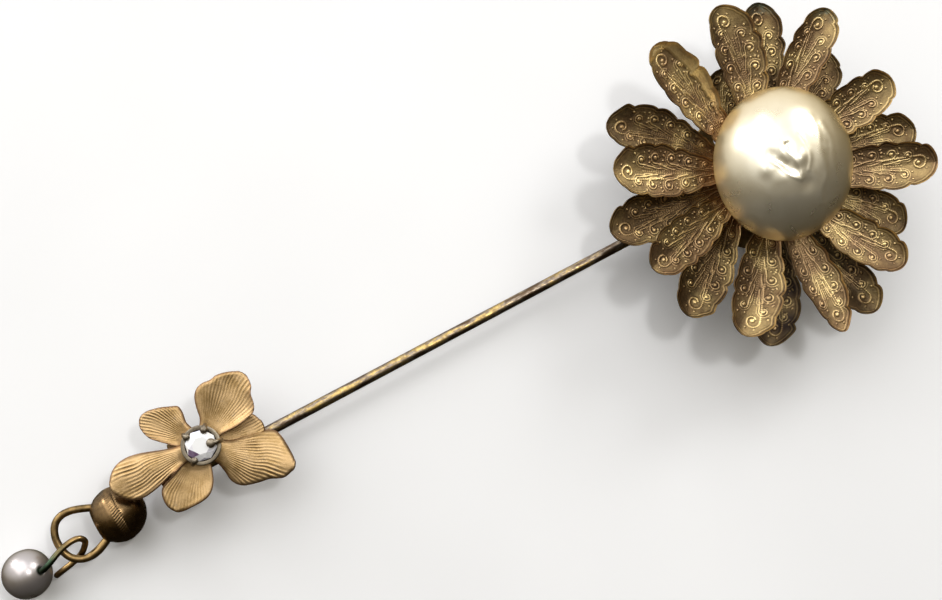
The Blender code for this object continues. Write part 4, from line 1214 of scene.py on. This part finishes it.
def blossom_petal(spec, hub_z):
    """A broad leaf with fanned veins, turned edges and a soft waist."""
    shape = spec["shape"]
    t = np.linspace(0.0, 1.0, BLOSSOM_ROWS)
    along = 1.0 - (1.0 - t) ** 1.25
    across = np.linspace(-1.0, 1.0, BLOSSOM_COLUMNS)
    along, across = np.meshgrid(along, across, indexing="ij")
    last = shape[-1][0]
    end = np.clip((along - last + 0.02) / (1.02 - last), 0.0, 1.0)
    close = np.sqrt(np.clip(1.0 - end**2, 0.0, 1.0))
    left = smooth_stations([(s[0], s[1]) for s in shape], along)
    right = smooth_stations([(s[0], s[2]) for s in shape], along)
    half = np.where(across > 0.0, left, right) * close * spec.get("width", 1.0) + 0.02
    s = 0.9 + (spec["reach"] - 0.9) * along
    n = across * half
    slope = np.gradient(half, axis=0) / np.maximum(np.gradient(s, axis=0), 0.001)
    edge = (1.0 - np.abs(across)) * half / np.sqrt(1.0 + slope**2)

    fan = np.degrees(np.arctan2(n, s - 0.6))
    fan = fan * (1.0 + 0.05 * (s - 4.0))
    bend = 3.4 * value_noise(np.stack([s, n * 0.6], axis=-1), 1.8, 21)
    wave = np.cos(2.0 * np.pi * (fan + bend) / VEIN_DEG)
    fade = np.clip((s - 2.0) / 2.5, 0.0, 1.0) * np.clip(np.abs(fan) / 9.0, 0.35, 1.0)
    fade = fade * (0.55 + 0.55 * value_noise(np.stack([s, n], axis=-1), 1.3, 8))
    veins = spec["veins"] * fade * wave
    ease = np.sin(np.pi * np.clip(along, 0.0, 1.0)) ** 0.7
    height = hub_z + spec["rise"] * along**1.4
    height = height + spec["dish"] * across**2 * ease
    height = height + spec["curl_left"] * np.clip((across - 0.55) / 0.45, 0.0, 1.0) ** 2 * ease
    height = height + spec["curl_right"] * np.clip((-across - 0.55) / 0.45, 0.0, 1.0) ** 2 * ease
    lip = np.exp(-(((along - 0.27) / 0.09) ** 2)) * np.clip((across - 0.35) / 0.65, 0.0, 1.0) ** 2
    height = height + spec.get("lip", 0.0) * lip
    height = height + 0.16 * value_noise(np.stack([s, n + 9.0], axis=-1), 2.6, 33)
    turned_down = 1.0 - np.sqrt(np.clip(1.0 - np.clip(1.0 - edge / 0.45, 0.0, 1.0) ** 2, 0.0, 1.0))
    lift = 0.042 * veins - 0.32 * turned_down
    angle = math.radians(spec["deg"])
    x = BLOSSOM[0] + s * math.cos(angle) - n * math.sin(angle)
    y = BLOSSOM[1] + s * math.sin(angle) + n * math.cos(angle)
    top = np.stack([x, y, height + lift], axis=-1)
    drop = np.zeros(top.shape)
    drop[..., 2] = BLOSSOM_SHEET + lift
    points, faces = sheet_solid(top, drop, 1 if (BLOSSOM_ROWS - 1) % 2 else 2)
    under = np.zeros(len(points) - n.size)
    data = {
        "relief": np.concatenate([(0.5 + 0.5 * veins).ravel(), under + 0.4]),
        # Rim value: painted shade on the turned-down edges and the underside.
        "rim": np.concatenate([np.clip(1.0 - edge / 0.28, 0.0, 1.0).ravel(), under + 0.8]),
    }
    place = ("clutch", (spec["node"],), "matte_gilt", BLOSSOM_METAL)
    add_piece(spec["name"], points, faces, *place, data)


def make_blossom():
    hubs = {}
    for node in ("blossom_front_layer", "blossom_back_layer"):
        points = node_points(node)
        gap = np.hypot(points[:, 0] - BLOSSOM[0], points[:, 1] - BLOSSOM[1])
        hubs[node] = float(points[gap < 1.2][:, 2].max())
        top, low = hubs[node], hubs[node] - BLOSSOM_SHEET
        ends = [(2.0, top), (2.0, low), (0.5, low), (0.5, top)]
        verts, faces = turned(rounded(ends, 0.15), 64, centre=(BLOSSOM[0], BLOSSOM[1], 0.0))
        even = np.ones(len(verts))
        data = {"relief": even * 0.4, "rim": even * 0.0}
        name = node.replace("layer", "hub")
        add_piece(name, verts, faces, "clutch", (node,), "matte_gilt", BLOSSOM_METAL, data)
    for spec in BLOSSOM_PETALS:
        blossom_petal(spec, hubs[spec["node"]])
    low, high = box_mm("blossom_rivet")
    ends = [
        (0.0, high[2]), (0.6, high[2]), (0.65, high[2] - 0.2), (0.4, high[2] - 0.25),
        (0.4, low[2] + 0.3), (0.85, low[2] + 0.3), (0.72, low[2]), (0.0, low[2]),
    ]
    centre = (BLOSSOM[0], BLOSSOM[1], 0.0)
    place = {"centre": centre, "closed": False}
    profile = rounded(ends, 0.08, 3, closed=False)
    turned_piece(
        "blossom_pin", profile, 32, "clutch", "blossom_rivet", "dark_brass", DARK_METAL, **place
    )


# ---------------------------------------------------------------- stone and its cup

# Claws: (direction in degrees, distance of the bead from the middle, bead radius, bead height)
CLAWS = (
    (-14.0, 1.05, 0.50, 0.30),
    (52.0, 1.62, 0.40, 0.10),
    (122.0, 1.72, 0.38, 0.02),
    (220.0, 1.70, 0.38, 0.02),
)
STONE_R = 1.66
CUP_RIM_Z = 8.2


def make_stone():
    low, high = box_mm("rhinestone")
    radius = max((high[0] - low[0]) / 2.0, STONE_R)
    table_z = high[2]
    girdle_z = low[2] + (high[2] - low[2]) * 0.66
    levels = (
        (0.56 * radius, table_z, 0.0),
        (0.80 * radius, table_z - 0.17, 0.5),
        (radius, girdle_z + 0.08, 0.0),
        (radius, girdle_z - 0.06, 0.0),
        (0.55 * radius, girdle_z - 0.55, 0.5),
    )
    sides = 8
    points = []
    for ring_r, z, shift in levels:
        for i in range(sides):
            angle = 2.0 * math.pi * (i + shift + 0.25) / sides
            points.append((ring_r * math.cos(angle), ring_r * math.sin(angle), z))
    points.append((0.0, 0.0, low[2]))
    faces = [tuple(range(sides))]
    # Facet values are painted reflections, set lighter or darker facet by facet.
    painted_reflections = [0.85]
    for level, (upper, lower) in enumerate(((0, 1), (1, 2), (2, 3), (3, 4))):
        for i in range(sides):
            j = (i + 1) % sides
            a, b = upper * sides, lower * sides
            if level == 0:
                faces += [(a + i, b + i, a + j), (a + j, b + i, b + j)]
                painted_reflections += [0.55 + 0.35 * ((i * 5) % 3) / 2.0, 0.75]
            elif level == 1:
                faces += [(a + i, b + i, b + j), (a + i, b + j, a + j)]
                painted_reflections += [0.9 - 0.5 * ((i * 3) % 4) / 3.0, 0.6 + 0.3 * ((i * 7) % 3) / 2.0]
            else:
                faces.append((a + i, b + i, b + j, a + j))
                painted_reflections.append(0.5)
    for i in range(sides):
        faces.append((4 * sides + i, len(points) - 1, 4 * sides + (i + 1) % sides))
        painted_reflections.append(0.4)
    centre = np.array((BLOSSOM[0], BLOSSOM[1], 0.0))
    points = np.array(points) + centre
    middles = np.array([points[list(face)].mean(axis=0) for face in faces]) - centre
    turn = np.degrees(np.arctan2(middles[:, 1], middles[:, 0])) % 360.0
    # Facets facing about 205 degrees round the stone are painted almost black: a painted dark reflection.
    dark = (np.hypot(middles[:, 0], middles[:, 1]) > 0.5) & (np.abs(turn - 205.0) < 24.0)
    painted_reflections = np.where(dark, 0.05, np.array(painted_reflections))
    place = ("clutch", ("rhinestone",), "clear_stone", STONE)
    stone = add_piece("foiled_stone", points, faces, *place, {"tone": painted_reflections}, 1.0)
    stone.data.shade_flat()


def make_stone_cup():
    foot, rim_z = box_mm("stone_cup")[0][2], CUP_RIM_Z
    ends = [
        (2.12, rim_z), (2.0, foot + 0.8), (1.6, foot), (0.5, foot), (0.5, foot + 0.4),
        (1.25, foot + 0.4), (1.68, rim_z - 0.35), (1.60, rim_z),
    ]
    centre = np.array((BLOSSOM[0], BLOSSOM[1], 0.0))
    shapes = [turned(rounded(ends, 0.14), 72, centre=tuple(centre))]
    for direction, distance, bead_r, bead_up in CLAWS:
        angle = math.radians(direction)
        spoke = np.array((math.cos(angle), math.sin(angle), 0.0))
        top = rim_z + 0.32 + bead_up
        route = [
            centre + spoke * 2.05 + (0.0, 0.0, rim_z - 0.9),
            centre + spoke * 2.10 + (0.0, 0.0, rim_z - 0.2),
            centre + spoke * (0.35 * distance + 1.3) + (0.0, 0.0, top - 0.05),
            centre + spoke * distance + (0.0, 0.0, top),
        ]
        shapes.append(tube(smooth_route(route, 6), 0.26, 16))
        ball, ball_faces = icosphere(4)
        squash = ball * np.array((bead_r, bead_r, bead_r * 0.75))
        shapes.append((squash + centre + spoke * distance + (0.0, 0.0, top), ball_faces))
    verts, faces = joined(*shapes)
    place = ("clutch", ("stone_cup",), "pewter", CUP_METAL)
    add_piece("claw_cup", verts, faces, *place, sharp=45.0)


make_blossom()
make_stone()
make_stone_cup()


# ---------------------------------------------------------------- ring and drop

RING_WIRE_R = 0.4
EYE_WIRE_R = 0.33
# Routes: distances from the ball's centre along X and Y, and for the eye its height
RING_ROUTE = (
    (-1.4, 0.1), (-1.55, 1.2), (-2.1, 1.85), (-2.8, 2.2), (-3.6, 2.5), (-4.45, 2.69),
    (-5.25, 2.66), (-6.0, 2.3), (-6.5, 1.65), (-6.78, 0.8), (-6.82, -0.1), (-6.65, -1.05),
    (-6.2, -1.85), (-5.45, -2.4), (-4.6, -2.6), (-3.6, -2.45), (-2.8, -2.14), (-2.1, -1.76),
    (-1.6, -1.1),
)
EYE_ROUTE = (
    (-10.63, -1.20, 3.08), (-9.88, -1.34, 3.87), (-9.13, -1.49, 4.67), (-8.55, -1.33, 4.98),
    (-7.85, -1.05, 4.95), (-7.1, -0.70, 4.75), (-6.35, -0.42, 4.50), (-5.6, -0.26, 4.25),
    (-5.0, -0.24, 4.05), (-4.45, -0.42, 3.80), (-4.21, -0.90, 3.45), (-4.6, -1.40, 2.95),
    (-5.2, -1.85, 2.30), (-6.0, -2.20, 1.98), (-6.8, -2.40, 1.95), (-7.5, -2.52, 1.95),
    (-8.2, -2.66, 1.8), (-8.9, -2.78, 1.5),
)


def make_ring_and_drop():
    route = [(BALL[0] + x, y, BALL[2]) for x, y in RING_ROUTE]
    route = smooth_route(route, 10, cyclic=True)
    beyond_eye = np.clip((route[:, 0] - BALL[0] + 5.0) / 1.0, 0.0, 1.0)
    thick = RING_WIRE_R + 0.06 * beyond_eye * np.clip((-route[:, 1] - 1.0) / 1.2, 0.0, 1.0)
    verts, faces = tube(route, thick, 32, wrap=True)
    add_piece("ring_wire", verts, faces, "ring", ("pull_ring",), "dark_brass", WIRE_METAL)

    route = smooth_route([(BALL[0] + x, y, z) for x, y, z in EYE_ROUTE], 10)
    thick = np.full(len(route), EYE_WIRE_R)
    thick[-6:] *= np.sqrt(1.0 - np.linspace(0.0, 0.94, 6) ** 2)
    verts, faces = tube(route, thick, 28)
    near = np.clip(2.1 - np.arange(len(route)) / 34.0, 0.0, 0.95)
    data = {"verdigris": np.repeat(near, 28)}
    place = ("drop", ("drop_eye_pin",), "dark_brass", WIRE_METAL)
    add_piece("eye_wire", verts, faces, *place, data)

    middle = centre_of("drop_pearl")
    low, high = box_mm("drop_pearl")
    radius = float((high - low)[1] / 2.0)
    entry = np.array((BALL[0], 0.0, 0.0)) + np.array(EYE_ROUTE[2])
    axis = unit(entry - middle)
    directions, faces = icosphere(6)
    lift = 0.025 * value_noise(directions, 0.6, 13)
    toward = directions @ axis
    gap = np.degrees(np.arccos(np.clip(toward, -1.0, 1.0)))
    pit = 0.30 * np.exp(-((gap / 9.0) ** 4))
    shape = directions * (radius + lift - pit)[:, None] + middle
    stain = np.clip(1.0 - (gap - 7.0) / 6.0, 0.0, 1.0) * (0.75 + 0.25 * value_noise(directions, 0.1, 5))
    place = ("drop", ("drop_pearl",), "grey_pearl", DROP_PEARL)
    add_piece("drop_pearl_shell", shape, faces, *place, {"verdigris": np.clip(stain, 0.0, 1.0)})


make_ring_and_drop()


# ---------------------------------------------------------------- camera, light, floor

VIEW_TILT_DEG = 10.0
VIEW_ROLL_DEG = 27.75
VIEW_DISTANCE = 152.3
VIEW_ALONG = 0.5539
VIEW_ASIDE = 2.66
LENS_MM = 51.9
LIGHT_DISTANCE = 420.0
FLOOR_HALF = 1.2


def make_camera():
    """Looks down on the pin from the clutch's side, with the head to the upper right."""
    target = BALL * np.array((1.0 - VIEW_ALONG, 0.0, 1.0)) + np.array((0.0, VIEW_ASIDE, 0.0))
    tilt, roll = math.radians(VIEW_TILT_DEG), math.radians(VIEW_ROLL_DEG)
    back = Vector((-math.sin(tilt), 0.0, math.cos(tilt)))
    along = Vector((math.cos(tilt), 0.0, math.sin(tilt)))
    across = Vector((0.0, 1.0, 0.0))
    right = along * math.cos(roll) - across * math.sin(roll)
    up = along * math.sin(roll) + across * math.cos(roll)
    camera = bpy.data.objects.new("camera", bpy.data.cameras.new("camera"))
    bpy.context.scene.collection.objects.link(camera)
    turn = Matrix((right, up, back)).transposed()
    place = Vector(target * MM) + back * VIEW_DISTANCE * MM
    camera.matrix_world = Matrix.Translation(place) @ turn.to_4x4()
    camera.data.lens = LENS_MM
    camera.data.sensor_width = 36.0
    camera.data.clip_start = 0.005
    camera.data.clip_end = 5.0
    bpy.context.scene.camera = camera
    return right, up, back


def make_light(name, direction, size_mm, energy):
    """A square soft light that looks at the middle of the pin."""
    lamp = bpy.data.lights.new(name, "AREA")
    lamp.size = size_mm * MM
    lamp.energy = energy
    light = bpy.data.objects.new(name, lamp)
    bpy.context.scene.collection.objects.link(light)
    aim = Vector((BALL[0] * 0.35 * MM, 0.0, BALL[2] * MM))
    light.location = aim + direction.normalized() * LIGHT_DISTANCE * MM
    light.rotation_euler = (-direction).to_track_quat("-Z", "Y").to_euler()


def make_world(right, up, back):
    """A soft studio: bright above the picture, dim below it."""
    world = bpy.data.worlds.new("studio")
    bpy.context.scene.world = world
    world.use_nodes = True
    tree = world.node_tree
    place = tree.nodes.new("ShaderNodeTexCoord")
    dot = tree.nodes.new("ShaderNodeVectorMath")
    dot.operation = "DOT_PRODUCT"
    bright = (up * 0.9 - right * 0.35 + back * 0.35).normalized()
    dot.inputs[1].default_value = bright
    ramp = tree.nodes.new("ShaderNodeValToRGB")
    half = tree.nodes.new("ShaderNodeMath")
    half.operation = "MULTIPLY_ADD"
    half.inputs[1].default_value = 0.5
    half.inputs[2].default_value = 0.5
    stops = (
        (0.30, (0.02, 0.016, 0.010)),
        (0.55, (0.13, 0.10, 0.045)),
        (0.70, (0.70, 0.68, 0.63)),
        (0.90, (1.02, 1.02, 1.04)),
    )
    for index, (position, colour) in enumerate(stops):
        elements = ramp.color_ramp.elements
        element = elements[index] if index < 2 else elements.new(position)
        element.position = position
        element.color = (*colour, 1.0)
    shader = tree.nodes["Background"]
    tree.links.new(place.outputs["Generated"], dot.inputs[0])
    tree.links.new(dot.outputs["Value"], half.inputs[0])
    tree.links.new(half.outputs[0], ramp.inputs["Fac"])
    tree.links.new(ramp.outputs["Color"], shader.inputs["Color"])
    shader.inputs["Strength"].default_value = 1.0


def make_floor():
    size = FLOOR_HALF
    mesh = bpy.data.meshes.new("floor")
    corners = [(-size, -size, 0.0), (size, -size, 0.0), (size, size, 0.0), (-size, size, 0.0)]
    mesh.from_pydata(corners, [], [(0, 1, 2, 3)])
    m = Nodes("pale_floor")
    m.link(m.ramp(m.noise(40.0, 2.0), ((0.3, 0.88), (0.7, 0.92))), "Base Color")
    m.set(Roughness=0.8)
    mesh.materials.append(m.material)
    floor = bpy.data.objects.new("floor", mesh)
    floor.location.z = -0.0002
    bpy.context.scene.collection.objects.link(floor)
    floor.visible_glossy = False


RIGHT, UP, BACK = make_camera()
make_world(RIGHT, UP, BACK)
make_floor()
make_light("key", UP * 0.75 - RIGHT * 0.5 + BACK * 0.9, 420.0, 0.85)
make_light("low_left", UP * 0.55 - RIGHT * 0.78 + BACK * 0.2, 120.0, 0.42)
make_light("high_right", UP * 0.72 + RIGHT * 0.56 + BACK * 0.42, 120.0, 0.46)
make_light("near_camera", RIGHT * 0.3 + UP * 0.28 + BACK * 0.91, 45.0, 0.3)
bpy.context.scene.view_settings.view_transform = "Standard"
